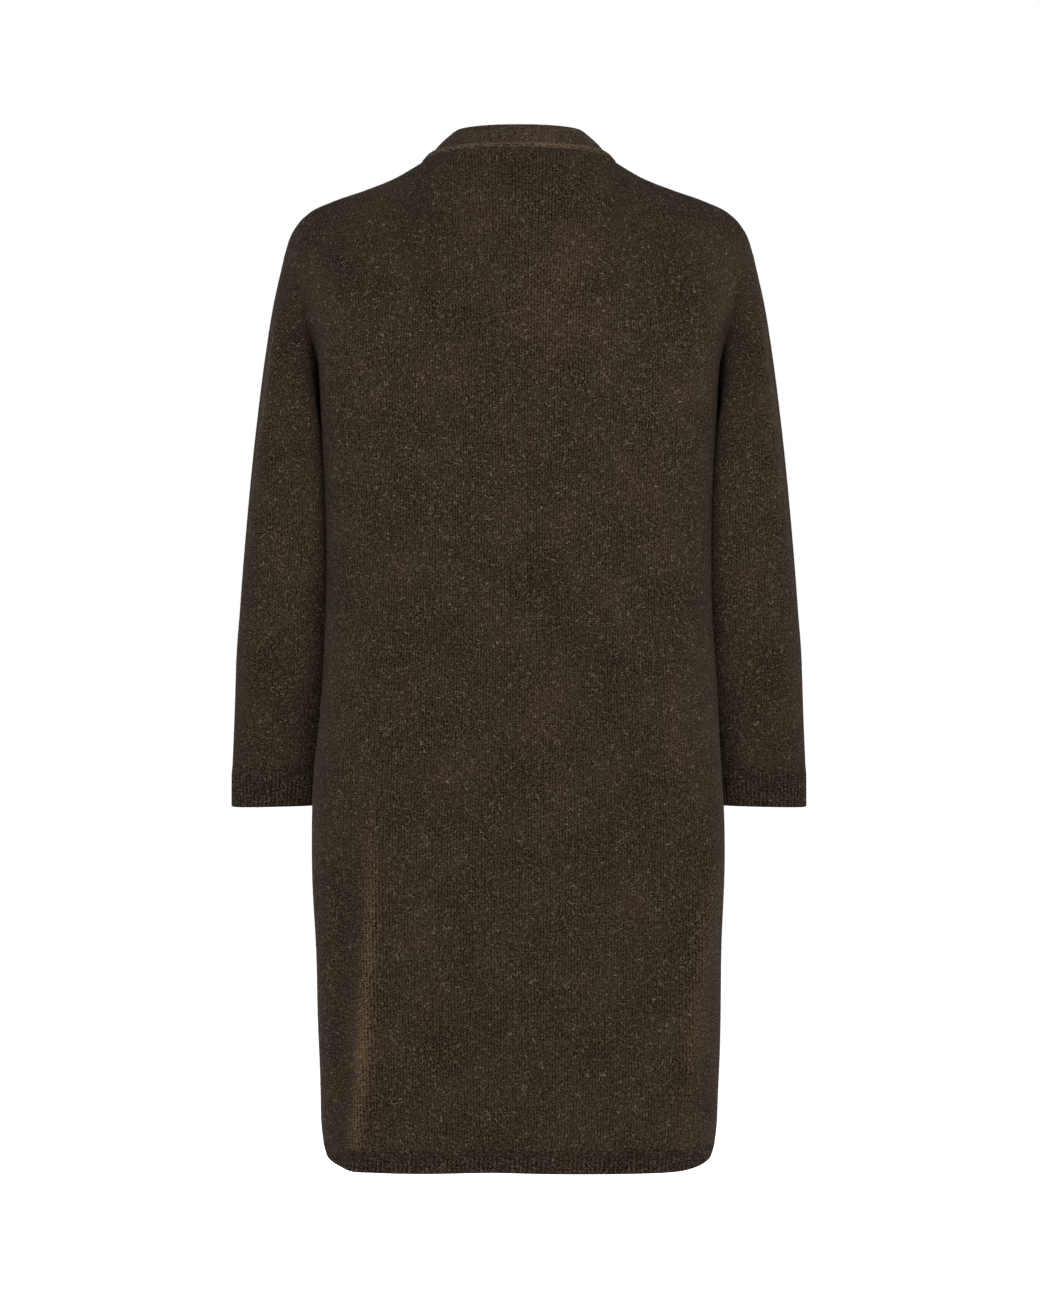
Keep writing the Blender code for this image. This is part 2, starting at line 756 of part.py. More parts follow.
def build_hem_fronts(material):
    """The ribbing along the two fronts' hems."""
    rows = []
    for height in (HEM, HEM_RIB_TOP - SEAM_GAP / 2):
        body, drape = front_section(height)
        curve = np.concatenate([body, drape[1:]])
        length = np.linalg.norm(np.diff(curve, axis=0), axis=1).sum()
        count = rib_count(length) if not rows else (len(rows[0]) - 1) // 2
        row = along(curve, np.linspace(0.0, 1.0, 2 * count + 1))
        coarse = front_row(height)
        row[:, 2] = np.interp(
            np.linspace(0.0, 1.0, len(row)), column_shares(coarse), coarse[:, 2]
        )
        row[:, 1] -= SEAM_GAP / 2
        rows.append(row)
    for side, sign in (("left", 1.0), ("right", -1.0)):
        name = f"hem_front_{side}"
        mirror = np.array([sign, 1.0, 1.0])
        mesh = ribbed_mesh(name, [row[::-1] for row in rows], False, mirror)
        add_piece(name, mesh, material)


def column_shares(row):
    """How far along its own length each point of a row lies."""
    steps = np.linalg.norm(np.diff(row, axis=0), axis=1)
    return np.concatenate([[0.0], np.cumsum(steps)]) / steps.sum()


def build_cuffs(material):
    """The ribbed cuffs at the two sleeve ends."""
    coarse = sleeve_ring(CUFF_RING, FINE)
    length = np.linalg.norm(coarse - np.roll(coarse, 1, axis=0), axis=1).sum()
    columns = 2 * rib_count(length)
    rows = []
    for ring in (CUFF_RING, SLEEVE_RINGS[-1]):
        fine = sleeve_ring(ring, FINE)
        loop = np.concatenate([fine, fine[:1]])
        rows.append(along(loop, np.arange(columns) / columns))
    rows[1][:, 2] -= SEAM_GAP / 2
    for side, sign in (("left", 1.0), ("right", -1.0)):
        name = f"cuff_{side}"
        mesh = ribbed_mesh(name, rows, True, np.array([sign, 1.0, 1.0]))
        add_piece(name, mesh, material)


def main():
    """Builds every piece of the cardigan."""
    clear_scene()
    wool = wool_material("brown_wool", WOOL)
    rib_wool = wool_material("ribbed_wool", RIB_WOOL)
    band_wool = wool_material("band_wool", BAND_WOOL)
    build_back(wool)
    build_fronts(wool)
    build_sleeves(wool)
    build_neck_band(band_wool)
    build_front_bands(band_wool)
    build_hem_back(rib_wool)
    build_hem_fronts(rib_wool)
    build_cuffs(rib_wool)


main()
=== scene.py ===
"""The looks of a long knitted waterfall cardigan, dressed on its fixed frame.

Units are metres, +Z is up, the front faces -Y and +X is the wearer's left.
Each piece of the garment is a fine knitted shell that follows its solid, with soft
folds, rolled bands, rounded ribs and a nap of loose fibres.
"""

import logging
import math
from dataclasses import dataclass, field
from enum import Enum
from typing import NamedTuple, Sequence

import bmesh
import bpy
import numpy as np
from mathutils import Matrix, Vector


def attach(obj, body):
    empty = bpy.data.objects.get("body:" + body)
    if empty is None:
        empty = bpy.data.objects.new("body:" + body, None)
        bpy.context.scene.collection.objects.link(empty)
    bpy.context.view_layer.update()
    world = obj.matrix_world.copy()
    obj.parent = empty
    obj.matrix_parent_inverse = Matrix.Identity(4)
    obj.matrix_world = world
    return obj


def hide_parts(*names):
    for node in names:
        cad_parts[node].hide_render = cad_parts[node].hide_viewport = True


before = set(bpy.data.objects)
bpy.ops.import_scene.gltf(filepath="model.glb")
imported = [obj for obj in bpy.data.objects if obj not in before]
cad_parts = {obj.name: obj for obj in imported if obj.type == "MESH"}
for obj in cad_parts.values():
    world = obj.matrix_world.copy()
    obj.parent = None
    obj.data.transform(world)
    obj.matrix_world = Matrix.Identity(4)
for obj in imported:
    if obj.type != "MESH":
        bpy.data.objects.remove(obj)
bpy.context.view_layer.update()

LOG = logging.getLogger("cardigan")
Array = np.ndarray
Colour = tuple[float, float, float, float]
Pair = tuple[float, float]
Material = bpy.types.Material
Socket = bpy.types.NodeSocket

CURVE_POINTS = 320
FIBRES_A_SQUARE_METRE = 60000.0
SEAM_MERGE = 1e-6
FOLD_FADE_IN = 2.5
FOLD_TAIL = 1.12
FOLD_FADE_OUT = 3.0


class Side(Enum):
    """The wearer's two sides, as the sign of X."""

    LEFT = 1.0
    RIGHT = -1.0

    @property
    def word(self) -> str:
        """The side's name in lower case."""
        return self.name.lower()


class Stitch(Enum):
    """How a piece is knitted."""

    JERSEY = "jersey"
    RIB = "rib"
    BAND = "band"


class BodySection(NamedTuple):
    """The body at one height."""

    height: float
    half_width: float
    back: float
    front: float


class ShoulderPoint(NamedTuple):
    """A point of the shoulder's ridge."""

    out: float
    height: float


class SleeveRing(NamedTuple):
    """A ring of the sleeve: its outer and inner lines, its middle and its depth.

    The power is that of its roundness, and nook that of its back by the body.
    """

    outer_height: float
    outer: float
    inner_height: float
    inner: float
    middle: float
    half_depth: float
    power: float
    nook: float


class DrapeSection(NamedTuple):
    """The folded cloth of a front at one height."""

    height: float
    start: float
    edge: float
    cloth: float


class FrontFold(NamedTuple):
    """One swing of a front's cloth, as a share of it."""

    share: float
    swing: float


class SoftFold(NamedTuple):
    """A soft ridge or trough, by its line (out, height) from the top down.

    A fold's painted highlight lightens the wool along its crest, where the crest catches light.
    """

    line: tuple[Pair, ...]
    width: float
    rise: float
    painted_highlight: float = 0.0


class SleeveFold(NamedTuple):
    """A fold of the sleeve, by the angle round it and the share down it."""

    angle: float
    turn: float
    start: float
    end: float
    width: float
    rise: float


class BandStep(NamedTuple):
    """A step of a band's profile: the share across it and the depth behind its face."""

    share: float
    depth: float


class Noise(NamedTuple):
    """A noise: its detail and roughness, and the values that become 0 and 1."""

    detail: float
    rough: float
    low: float
    high: float


class Lamp(NamedTuple):
    """A soft square light: its name, place, power in watts and width."""

    name: str
    place: tuple[float, float, float]
    power: float
    size: float


def smooth_value(knots: Sequence[float], values: Sequence[float], at: Array) -> Array:
    """Reads a smooth curve through knots.

    Args:
        knots: Rising places of the knots.
        values: The value at each knot.
        at: The places to read.

    Returns:
        The values at those places.
    """
    places = np.asarray(knots, float)
    known = np.asarray(values, float)
    slopes = np.gradient(known, places)
    index = np.clip(np.searchsorted(places, at) - 1, 0, len(places) - 2)
    span = places[index + 1] - places[index]
    part = np.clip((at - places[index]) / span, 0.0, 1.0)
    rest = 1.0 - part
    start = known[index] * rest**2 * (1.0 + 2.0 * part)
    end = known[index + 1] * part**2 * (3.0 - 2.0 * part)
    bend = slopes[index] * part * rest**2 - slopes[index + 1] * part**2 * rest
    return start + end + bend * span


def from_table(rows: Sequence[NamedTuple], column: str, at: float) -> float:
    """Reads one column of a table smoothly at a height.

    Args:
        rows: The table, by rising height.
        column: The column's name.
        at: The height.

    Returns:
        The value there.
    """
    knots = [row.height for row in rows]
    values = [getattr(row, column) for row in rows]
    return float(smooth_value(knots, values, np.asarray(at)))


def unit(vectors: Array) -> Array:
    """Brings vectors to length one.

    Args:
        vectors: Any array of vectors along its last axis.

    Returns:
        The unit vectors.
    """
    vectors = np.asarray(vectors, float)
    return vectors / np.linalg.norm(vectors, axis=-1, keepdims=True)


def along(curve: Array, fractions: Array) -> Array:
    """Places points on a fine polyline.

    Args:
        curve: The polyline's points.
        fractions: Shares of its length.

    Returns:
        The points at those shares.
    """
    steps = np.linalg.norm(np.diff(curve, axis=0), axis=1)
    length = np.concatenate([[0.0], np.cumsum(steps)])
    at = np.asarray(fractions) * length[-1]
    return np.stack([np.interp(at, length, curve[:, axis]) for axis in range(3)], axis=1)


def bump(places: Array, middle: Array, width: float) -> Array:
    """A soft bell of height one.

    Args:
        places: Where to read it.
        middle: The bell's middle.
        width: The distance at which it has fallen to a third.

    Returns:
        The bell's height at each place.
    """
    return np.exp(-(((places - middle) / width) ** 2))


def ease(part: Array) -> Array:
    """A smooth step from nought to one."""
    part = np.clip(part, 0.0, 1.0)
    return part * part * (3.0 - 2.0 * part)


def grid_normals(points: Array, closed: bool = False) -> Array:
    """Finds the outward directions of a grid of points.

    Args:
        points: Rows that rise, of points that run leftward on the back.
        closed: Whether the rows are rings.

    Returns:
        A unit vector for each point.
    """
    if closed:
        around = np.roll(points, -1, axis=1) - np.roll(points, 1, axis=1)
    else:
        around = np.gradient(points, axis=1)
    return unit(np.cross(np.gradient(points, axis=0), around))


@dataclass(frozen=True)
class Cut:
    """The cardigan's cut as worn: the sizes that every piece shares."""

    hem: float = -0.952
    hem_rib_top: float = -0.930
    underarm: float = -0.205
    neck_half_width: float = 0.092
    neck_back: float = 0.075
    neck_rise: float = 0.004
    collar_half_width: float = 0.060
    collar_back: float = 0.058
    collar_side_height: float = 0.031
    collar_back_height: float = 0.0292
    front_band: float = 0.042
    shoulder_end: Pair = (0.2256, -0.092)
    underarm_out: float = 0.190
    armhole_depth: float = 0.062
    armhole_lean: Pair = (-0.0025, 0.0050)
    armhole_forward: float = 0.004
    back_power: float = 4.2
    front_power: float = 2.5
    neck_power: float = 2.2
    edge_power: float = 4.0
    yoke_ease: float = 1.5
    nape_spread: float = 0.095
    nape_power: float = 8.0
    neck_share: float = 5.0 / 12.0
    drape_dip: float = 0.016
    turn_power: int = 3
    widest_swing: float = 2.1
    swing_tries: int = 26
    body: tuple[BodySection, ...] = (
        BodySection(-0.952, 0.1822, 0.1208, 0.1150),
        BodySection(-0.930, 0.1865, 0.1205, 0.1150),
        BodySection(-0.880, 0.1895, 0.1215, 0.1155),
        BodySection(-0.760, 0.1925, 0.1225, 0.1160),
        BodySection(-0.640, 0.1955, 0.1215, 0.1150),
        BodySection(-0.520, 0.1885, 0.1170, 0.1110),
        BodySection(-0.400, 0.1835, 0.1120, 0.1080),
        BodySection(-0.300, 0.1860, 0.1125, 0.1110),
        BodySection(-0.205, 0.1900, 0.1150, 0.1120),
    )
    shoulder: tuple[ShoulderPoint, ...] = (
        ShoulderPoint(0.0920, 0.0000),
        ShoulderPoint(0.1180, -0.0152),
        ShoulderPoint(0.1470, -0.0270),
        ShoulderPoint(0.1800, -0.0387),
        ShoulderPoint(0.2016, -0.0495),
        ShoulderPoint(0.2120, -0.0598),
        ShoulderPoint(0.2210, -0.0763),
        ShoulderPoint(0.2256, -0.0920),
    )
    drape: tuple[DrapeSection, ...] = (
        DrapeSection(-0.952, 0.148, 0.070, 0.272),
        DrapeSection(-0.700, 0.148, 0.068, 0.235),
        DrapeSection(-0.450, 0.140, 0.066, 0.172),
        DrapeSection(-0.300, 0.132, 0.066, 0.112),
        DrapeSection(-0.205, 0.126, 0.068, 0.078),
    )
    front_folds: tuple[FrontFold, ...] = (
        FrontFold(0.23, 0.92),
        FrontFold(0.27, -1.00),
        FrontFold(0.27, 1.05),
        FrontFold(0.23, -0.95),
    )

    def quarter(self, half_width: float, depth: float, power: float) -> Array:
        """Draws a quarter of a rounded rectangle, from its middle out to its side.

        Args:
            half_width: Half its width.
            depth: How far its middle stands back, or forward if it is negative.
            power: Its squareness, where 2 is an ellipse.

        Returns:
            The curve's points, at no height.
        """
        angle = np.linspace(0.0, math.pi / 2, CURVE_POINTS)
        out = half_width * np.sin(angle) ** (2.0 / power)
        back = depth * np.cos(angle) ** (2.0 / power)
        return np.stack([out, back, np.zeros(CURVE_POINTS)], axis=1)

    def back_section(self, height: float) -> Array:
        """Draws the left half of the back, from its middle.

        Args:
            height: The height at which it is cut.

        Returns:
            The curve's points.
        """
        half_width = from_table(self.body, "half_width", height)
        curve = self.quarter(half_width, from_table(self.body, "back", height), self.back_power)
        curve[:, 2] = height
        return curve

    def front_section(self, height: float) -> tuple[Array, Array]:
        """Draws the left front.

        Args:
            height: The height at which it is cut.

        Returns:
            The points of its plain cloth, and those of its folded cloth.
        """
        half_width = from_table(self.body, "half_width", height)
        depth = from_table(self.body, "front", height)
        start = from_table(self.drape, "start", height)
        curve = self.quarter(half_width, -depth, self.front_power)[::-1]
        plain = curve[curve[:, 0] >= start]
        heading = plain[-1] - plain[-2]
        folded = plain[-1] + self.drape_path(height, math.atan2(-heading[1], -heading[0]))
        plain[:, 2] = height
        folded[:, 2] = height
        return plain, folded

    def fold_headings(self, turn: float, swing: float) -> Array:
        """Finds the cloth's heading along the front's folds.

        Args:
            turn: The heading with which the plain cloth ends.
            swing: The size of the folds' swing.

        Returns:
            The heading at even steps along the cloth.
        """
        done = np.linspace(0.0, 1.0, CURVE_POINTS)
        heading = turn * (1.0 - done) ** self.turn_power
        begin = 0.0
        for fold in self.front_folds:
            inside = (done >= begin) & (done <= begin + fold.share)
            wave = np.sin(math.pi * (done - begin) / fold.share)
            heading = heading + np.where(inside, swing * fold.swing * wave, 0.0)
            begin += fold.share
        return heading

    def drape_path(self, height: float, turn: float) -> Array:
        """Swings the folded cloth until its edge hangs in place.

        Args:
            height: The height at which it is cut.
            turn: The heading with which the plain cloth ends.

        Returns:
            The cloth's points, counted from the plain cloth's end.
        """
        cloth = from_table(self.drape, "cloth", height)
        reach = from_table(self.drape, "start", height)
        reach -= from_table(self.drape, "edge", height)
        low, high = 0.0, self.widest_swing
        for _ in range(self.swing_tries):
            swing = (low + high) / 2
            if cloth * np.cos(self.fold_headings(turn, swing)).mean() > reach:
                low = swing
            else:
                high = swing
        heading = self.fold_headings(turn, swing)[:-1]
        step = cloth / (CURVE_POINTS - 1)
        across = np.concatenate([[0.0], np.cumsum(np.cos(heading))]) * step
        forward = np.concatenate([[0.0], np.cumsum(np.sin(heading))]) * step
        return np.stack([-across, -forward, np.zeros(CURVE_POINTS)], axis=1)

    def armhole_point(self, angle: float, back: float) -> Array:
        """A point of the left armhole.

        Args:
            angle: Degrees, 0 at the shoulder's end and 180 at the underarm.
            back: 1 on the back's half and -1 on the front's.

        Returns:
            The point.
        """
        top = np.array([self.shoulder_end[0], 0.0, self.shoulder_end[1]])
        bottom = np.array([self.underarm_out, 0.0, self.underarm])
        lean = self.armhole_lean
        depth = np.array(
            [lean[0], back * self.armhole_depth - self.armhole_forward, lean[1]]
        )
        turn = math.radians(angle)
        return (top + bottom) / 2 + (top - bottom) / 2 * math.cos(turn) + depth * math.sin(turn)

    def shoulder_curve(self) -> Array:
        """Draws the ridge of the left shoulder from the neck to its end.

        Returns:
            The curve's points.
        """
        out = [point.out for point in self.shoulder]
        places = np.linspace(out[0], out[-1], CURVE_POINTS)
        heights = smooth_value(out, [point.height for point in self.shoulder], places)
        return np.stack([places, np.zeros(CURVE_POINTS), heights], axis=1)

    def neck_curve(self) -> Array:
        """Draws the neck's seam from the middle of the back to the left side.

        Returns:
            The curve's points.
        """
        curve = self.quarter(self.neck_half_width, self.neck_back, self.neck_power)
        curve[:, 2] = self.neck_rise * curve[:, 1] / self.neck_back
        return curve

    def collar_curve(self) -> Array:
        """Draws the collar's top edge from the middle of the back to the left side.

        Returns:
            The curve's points.
        """
        curve = self.quarter(self.collar_half_width, self.collar_back, self.neck_power)
        drop = self.collar_back_height - self.collar_side_height
        curve[:, 2] = self.collar_side_height + drop * curve[:, 1] / self.collar_back
        return curve

    def yoke_row(self, angle: float, chest: Array, top: Array) -> Array:
        """One row of cloth between the chest and the shoulder.

        Args:
            angle: The armhole's angle at this row.
            chest: The row at the underarm's height.
            top: The row along the shoulder and neck.

        Returns:
            The row's points.
        """
        rise = (1.0 + math.cos(math.radians(angle))) / 2
        lean = math.sqrt(1.0 - rise * rise)
        row = chest + (top - chest) * rise
        row[:, 0] = chest[:, 0] + (top[:, 0] - chest[:, 0]) * rise**self.yoke_ease
        soft = top[:, 1].max() * np.exp(-((top[:, 0] / self.nape_spread) ** 2))
        ridge = soft + (top[:, 1] - soft) * rise**self.nape_power
        row[:, 1] = ridge + (chest[:, 1] - ridge) * lean
        return row


CUT = Cut()


class Graph:
    """A material's node tree, written as short calls."""

    def __init__(self, name: str) -> None:
        """Starts an empty material.

        Args:
            name: The material's name.
        """
        self.material = bpy.data.materials.new(name)
        self.material.use_nodes = True
        self.tree = self.material.node_tree
        self.shader = self.tree.nodes["Principled BSDF"]

    def node(self, kind: str, inputs: dict, **settings: object) -> bpy.types.Node:
        """Adds a node.

        Args:
            kind: The node's type.
            inputs: Values or sockets by input name or number.
            settings: The node's own properties.

        Returns:
            The node.
        """
        made = self.tree.nodes.new(kind)
        for key, value in settings.items():
            setattr(made, key, value)
        for key, value in inputs.items():
            if isinstance(value, Socket):
                self.tree.links.new(value, made.inputs[key])
            else:
                made.inputs[key].default_value = value
        return made

    def math(self, operation: str, *values: object) -> Socket:
        """Adds a sum of one to three values and returns its result."""
        inputs = dict(enumerate(values))
        return self.node("ShaderNodeMath", inputs, operation=operation).outputs[0]

    def noise(self, vector: object, scale: float, detail: float, rough: float) -> Socket:
        """Adds a noise texture and returns its value."""
        inputs = {"Vector": vector, "Scale": scale, "Detail": detail, "Roughness": rough}
        return self.node("ShaderNodeTexNoise", inputs).outputs[0]

    def flecks(self, vector: object, scale: float, noise: Noise) -> Socket:
        """Adds a noise whose values are stretched to 0 and 1."""
        value = self.noise(vector, scale, noise.detail, noise.rough)
        return self.spread(value, noise.low, noise.high)

    def spread(self, value: object, low: float, high: float) -> Socket:
        """Stretches the values between low and high to 0 and 1."""
        inputs = {0: value, 1: low, 2: high}
        return self.node("ShaderNodeMapRange", inputs, clamp=True).outputs[0]

    def placed(self, vector: object, turn: float, shift: float, size: tuple) -> Socket:
        """Turns a texture's coordinates and then stretches them to a size.

        Args:
            vector: The coordinates.
            turn: The angle in radians.
            shift: How far they are moved both ways.
            size: The size that one unit of the texture takes.

        Returns:
            The new coordinates.
        """
        inputs = {
            "Vector": vector,
            "Location": (shift, shift, 0.0),
            "Rotation": (0.0, 0.0, turn),
            "Scale": size,
        }
        return self.node("ShaderNodeMapping", inputs, vector_type="TEXTURE").outputs[0]

    def mix(self, share: object, first: object, second: object) -> Socket:
        """Mixes two colours."""
        inputs = {0: share, 6: first, 7: second}
        return self.node("ShaderNodeMix", inputs, data_type="RGBA").outputs[2]


@dataclass(frozen=True)
class WoolFinish:
    """Heathered wool: dark fibres and light flecks over knitted wales."""

    name: str
    stitch: Stitch
    dark: Colour = (0.0026, 0.0017, 0.0009, 1.0)
    middle: Colour = (0.0430, 0.0285, 0.0168, 1.0)
    light: Colour = (0.1550, 0.1200, 0.0830, 1.0)
    # The crest colour is a painted highlight, laid along crests that catch light.
    worn: Colour = (0.1120, 0.0690, 0.0360, 1.0)
    fleck_size: float = 0.0022
    grain_size: float = 0.0012
    fibre_length: float = 0.0030
    fibre_width: float = 0.0007
    wale: float = 0.0027
    course: float = 0.0021
    groove: float = 0.65
    loop_share: float = 0.35
    loop_lean: float = 0.9
    fleck_noise: Noise = Noise(2.0, 0.7, 0.40, 0.60)
    grain_noise: Noise = Noise(1.0, 0.5, 0.38, 0.62)
    streak_noise: Noise = Noise(1.0, 0.5, 0.64, 0.76)
    streaks: tuple[Pair, ...] = ((0.2, 0.0), (1.0, 3.1), (1.75, 6.7), (2.6, 9.3))
    knit_share: float = 0.54
    fleck_share: float = 0.38
    grain_share: float = 0.38
    patch_share: float = 0.55
    patches_in_a_metre: float = 16.0
    patch_detail: float = 3.0
    patch_rough: float = 0.55
    darkest: float = 0.40
    lightest: float = 1.00
    fibre_light: float = 0.75
    fibre_relief: float = 0.40
    relief: float = 0.80
    relief_depth: float = 0.0010
    roughness: float = 0.95
    gloss: float = 0.05
    sheen: float = 0.03
    sheen_roughness: float = 0.35
    sheen_tint: Colour = (0.95, 0.82, 0.66, 1.0)

    def build(self) -> Material:
        """Makes the material.

        Returns:
            The finished material.
        """
        graph = Graph(self.name)
        cloth = graph.node("ShaderNodeUVMap", {}, uv_map="cloth").outputs[0]
        crest = graph.node("ShaderNodeAttribute", {}, attribute_name="crest").outputs["Fac"]
        fibres = self.fibres(graph, cloth)
        depth = self.depth(graph, cloth)
        # Painted highlight: the colour lightens toward the crest colour where the crest attribute
        # is high.
        high = graph.mix(crest, self.middle, self.worn)
        # The colour follows the same depth as the bump: the wool's own flecks, grain and patches,
        # and painted shade in the grooves between the wales.
        base = graph.mix(graph.spread(depth, self.darkest, self.lightest), self.dark, high)
        colour = graph.mix(graph.math("MULTIPLY", fibres, self.fibre_light), base, self.light)
        height = graph.math("MULTIPLY_ADD", fibres, self.fibre_relief, depth)
        bump_inputs = {"Strength": self.relief, "Distance": self.relief_depth, "Height": height}
        bumped = graph.node("ShaderNodeBump", bump_inputs)
        inputs = graph.shader.inputs
        graph.tree.links.new(colour, inputs["Base Color"])
        graph.tree.links.new(bumped.outputs[0], inputs["Normal"])
        inputs["Roughness"].default_value = self.roughness
        inputs["Specular IOR Level"].default_value = self.gloss
        inputs["Sheen Weight"].default_value = self.sheen
        inputs["Sheen Roughness"].default_value = self.sheen_roughness
        inputs["Sheen Tint"].default_value = self.sheen_tint
        graph.material.diffuse_color = self.middle
        return graph.material

    def depth(self, graph: Graph, cloth: object) -> Socket:
        """Adds the mottle of the wool and the wales of the stitches.

        Args:
            graph: The material's node tree.
            cloth: The place on the flat cloth.

        Returns:
            A socket that runs from 0 to about 1.
        """
        flecks = graph.flecks(cloth, 1.0 / self.fleck_size, self.fleck_noise)
        grain = graph.flecks(cloth, 1.0 / self.grain_size, self.grain_noise)
        patches = graph.noise(
            cloth, self.patches_in_a_metre, self.patch_detail, self.patch_rough
        )
        patches = graph.math("SUBTRACT", patches, 0.5)
        knit = graph.math("MULTIPLY", self.knit(graph, cloth), self.knit_share)
        depth = graph.math("MULTIPLY_ADD", flecks, self.fleck_share, knit)
        depth = graph.math("MULTIPLY_ADD", grain, self.grain_share, depth)
        return graph.math("MULTIPLY_ADD", patches, self.patch_share, depth)

    def fibres(self, graph: Graph, cloth: object) -> Socket:
        """Adds short light fibres that lie every way.

        Args:
            graph: The material's node tree.
            cloth: The place on the flat cloth.

        Returns:
            A socket that runs from 0 to 1.
        """
        found = None
        size = (self.fibre_length, self.fibre_width, 1.0)
        for turn, shift in self.streaks:
            place = graph.placed(cloth, turn, shift, size)
            streak = graph.flecks(place, 1.0, self.streak_noise)
            found = streak if found is None else graph.math("MAXIMUM", found, streak)
        return found

    def knit(self, graph: Graph, cloth: object) -> Socket:
        """Adds the wales and courses of the stitches.

        Args:
            graph: The material's node tree.
            cloth: The place on the flat cloth.

        Returns:
            A socket that runs from 0 to 1.
        """
        parts = graph.node("ShaderNodeSeparateXYZ", {0: cloth}).outputs
        across, up = parts[0], parts[1]
        if self.stitch is Stitch.BAND:
            across, up = up, across
        wales = graph.math("MULTIPLY", across, math.pi / self.wale)
        ridge = graph.math("ABSOLUTE", graph.math("SINE", wales))
        lean = graph.math("MULTIPLY", ridge, self.loop_lean)
        rows = graph.math("MULTIPLY_ADD", up, 2.0 * math.pi / self.course, lean)
        loops = graph.math("MULTIPLY_ADD", graph.math("SINE", rows), 0.5, 0.5)
        loops = graph.math("MULTIPLY", loops, self.loop_share)
        return graph.math("MULTIPLY_ADD", ridge, self.groove, loops)


JERSEY_WOOL = WoolFinish("heathered_wool", Stitch.JERSEY)
# The ribs' painted shade and highlight: the dark middle colour fills the grooves between the ribs
# and the crest colour lightens their crests.
RIB_WOOL = WoolFinish(
    "ribbed_wool",
    Stitch.RIB,
    middle=(0.0120, 0.0080, 0.0047, 1.0),
    worn=(0.0800, 0.0535, 0.0320, 1.0),
    groove=0.30,
)
# The band's crest colour is a painted highlight along the welt of the neck band.
BAND_WOOL = WoolFinish(
    "band_wool",
    Stitch.BAND,
    dark=(0.0070, 0.0048, 0.0028, 1.0),
    middle=(0.1080, 0.0750, 0.0480, 1.0),
    worn=(0.2400, 0.1700, 0.1120, 1.0),
    groove=0.30,
)


@dataclass(frozen=True)
class NapFinish:
    """Loose wool fibres, lighter than the cloth that they stand on."""

    name: str = "loose_fibres"
    dark: Colour = (0.045, 0.031, 0.019, 1.0)
    light: Colour = (0.310, 0.245, 0.180, 1.0)
    tones_in_a_metre: float = 260.0
    tone_noise: Noise = Noise(1.0, 0.5, 0.38, 0.66)
    roughness: float = 0.9
    gloss: float = 0.1

    def build(self) -> Material:
        """Makes the material.

        Returns:
            The finished material.
        """
        graph = Graph(self.name)
        place = graph.node("ShaderNodeTexCoord", {}).outputs["Object"]
        tone = graph.flecks(place, self.tones_in_a_metre, self.tone_noise)
        colour = graph.mix(tone, self.dark, self.light)
        graph.tree.links.new(colour, graph.shader.inputs["Base Color"])
        graph.shader.inputs["Roughness"].default_value = self.roughness
        graph.shader.inputs["Specular IOR Level"].default_value = self.gloss
        return graph.material


@dataclass(frozen=True)
class FloorFinish:
    """A plain pale matt floor."""

    name: str = "pale_floor"
    colour: Colour = (0.90, 0.90, 0.90, 1.0)
    roughness: float = 0.9
    glow: float = 1.15

    def build(self) -> Material:
        """Makes the material.

        Returns:
            The finished material.
        """
        graph = Graph(self.name)
        graph.shader.inputs["Base Color"].default_value = self.colour
        graph.shader.inputs["Roughness"].default_value = self.roughness
        graph.shader.inputs["Emission Color"].default_value = self.colour
        graph.shader.inputs["Emission Strength"].default_value = self.glow
        return graph.material


def laid_out(shell: bmesh.types.BMesh, name: str, points: Array) -> bpy.types.Mesh:
    """Turns a fresh grid into a mesh whose points lie on a form.

    Args:
        shell: The grid, from -1 to 1 both ways. It is freed.
        name: The mesh's name.
        points: The place of each of its points, by row and column.

    Returns:
        The mesh, with each point's row and column as attributes.
    """
    mesh = bpy.data.meshes.new(name)
    shell.to_mesh(mesh)
    shell.free()
    row, column = grid_places(mesh, points.shape[:2])
    mesh.vertices.foreach_set("co", points[row, column].astype(np.float32).ravel())
    for label, values in (("row", row), ("column", column)):
        layer = mesh.attributes.new(label, "INT", "POINT")
        layer.data.foreach_set("value", values.astype(np.int32))
    mesh.update()
    return mesh


def grid_places(mesh: bpy.types.Mesh, shape: tuple[int, int]) -> tuple[Array, Array]:
    """Finds the row and column of each point of a fresh grid.

    Args:
        mesh: The grid's mesh, from -1 to 1 both ways.
        shape: The number of its rows and columns.

    Returns:
        Each point's row, and each point's column.
    """
    flat = np.empty(len(mesh.vertices) * 3, np.float32)
    mesh.vertices.foreach_get("co", flat)
    places = (flat.reshape(-1, 3) + 1.0) / 2.0
    row = np.rint(places[:, 1] * (shape[0] - 1)).astype(int)
    column = np.rint(places[:, 0] * (shape[1] - 1)).astype(int)
    return row, column


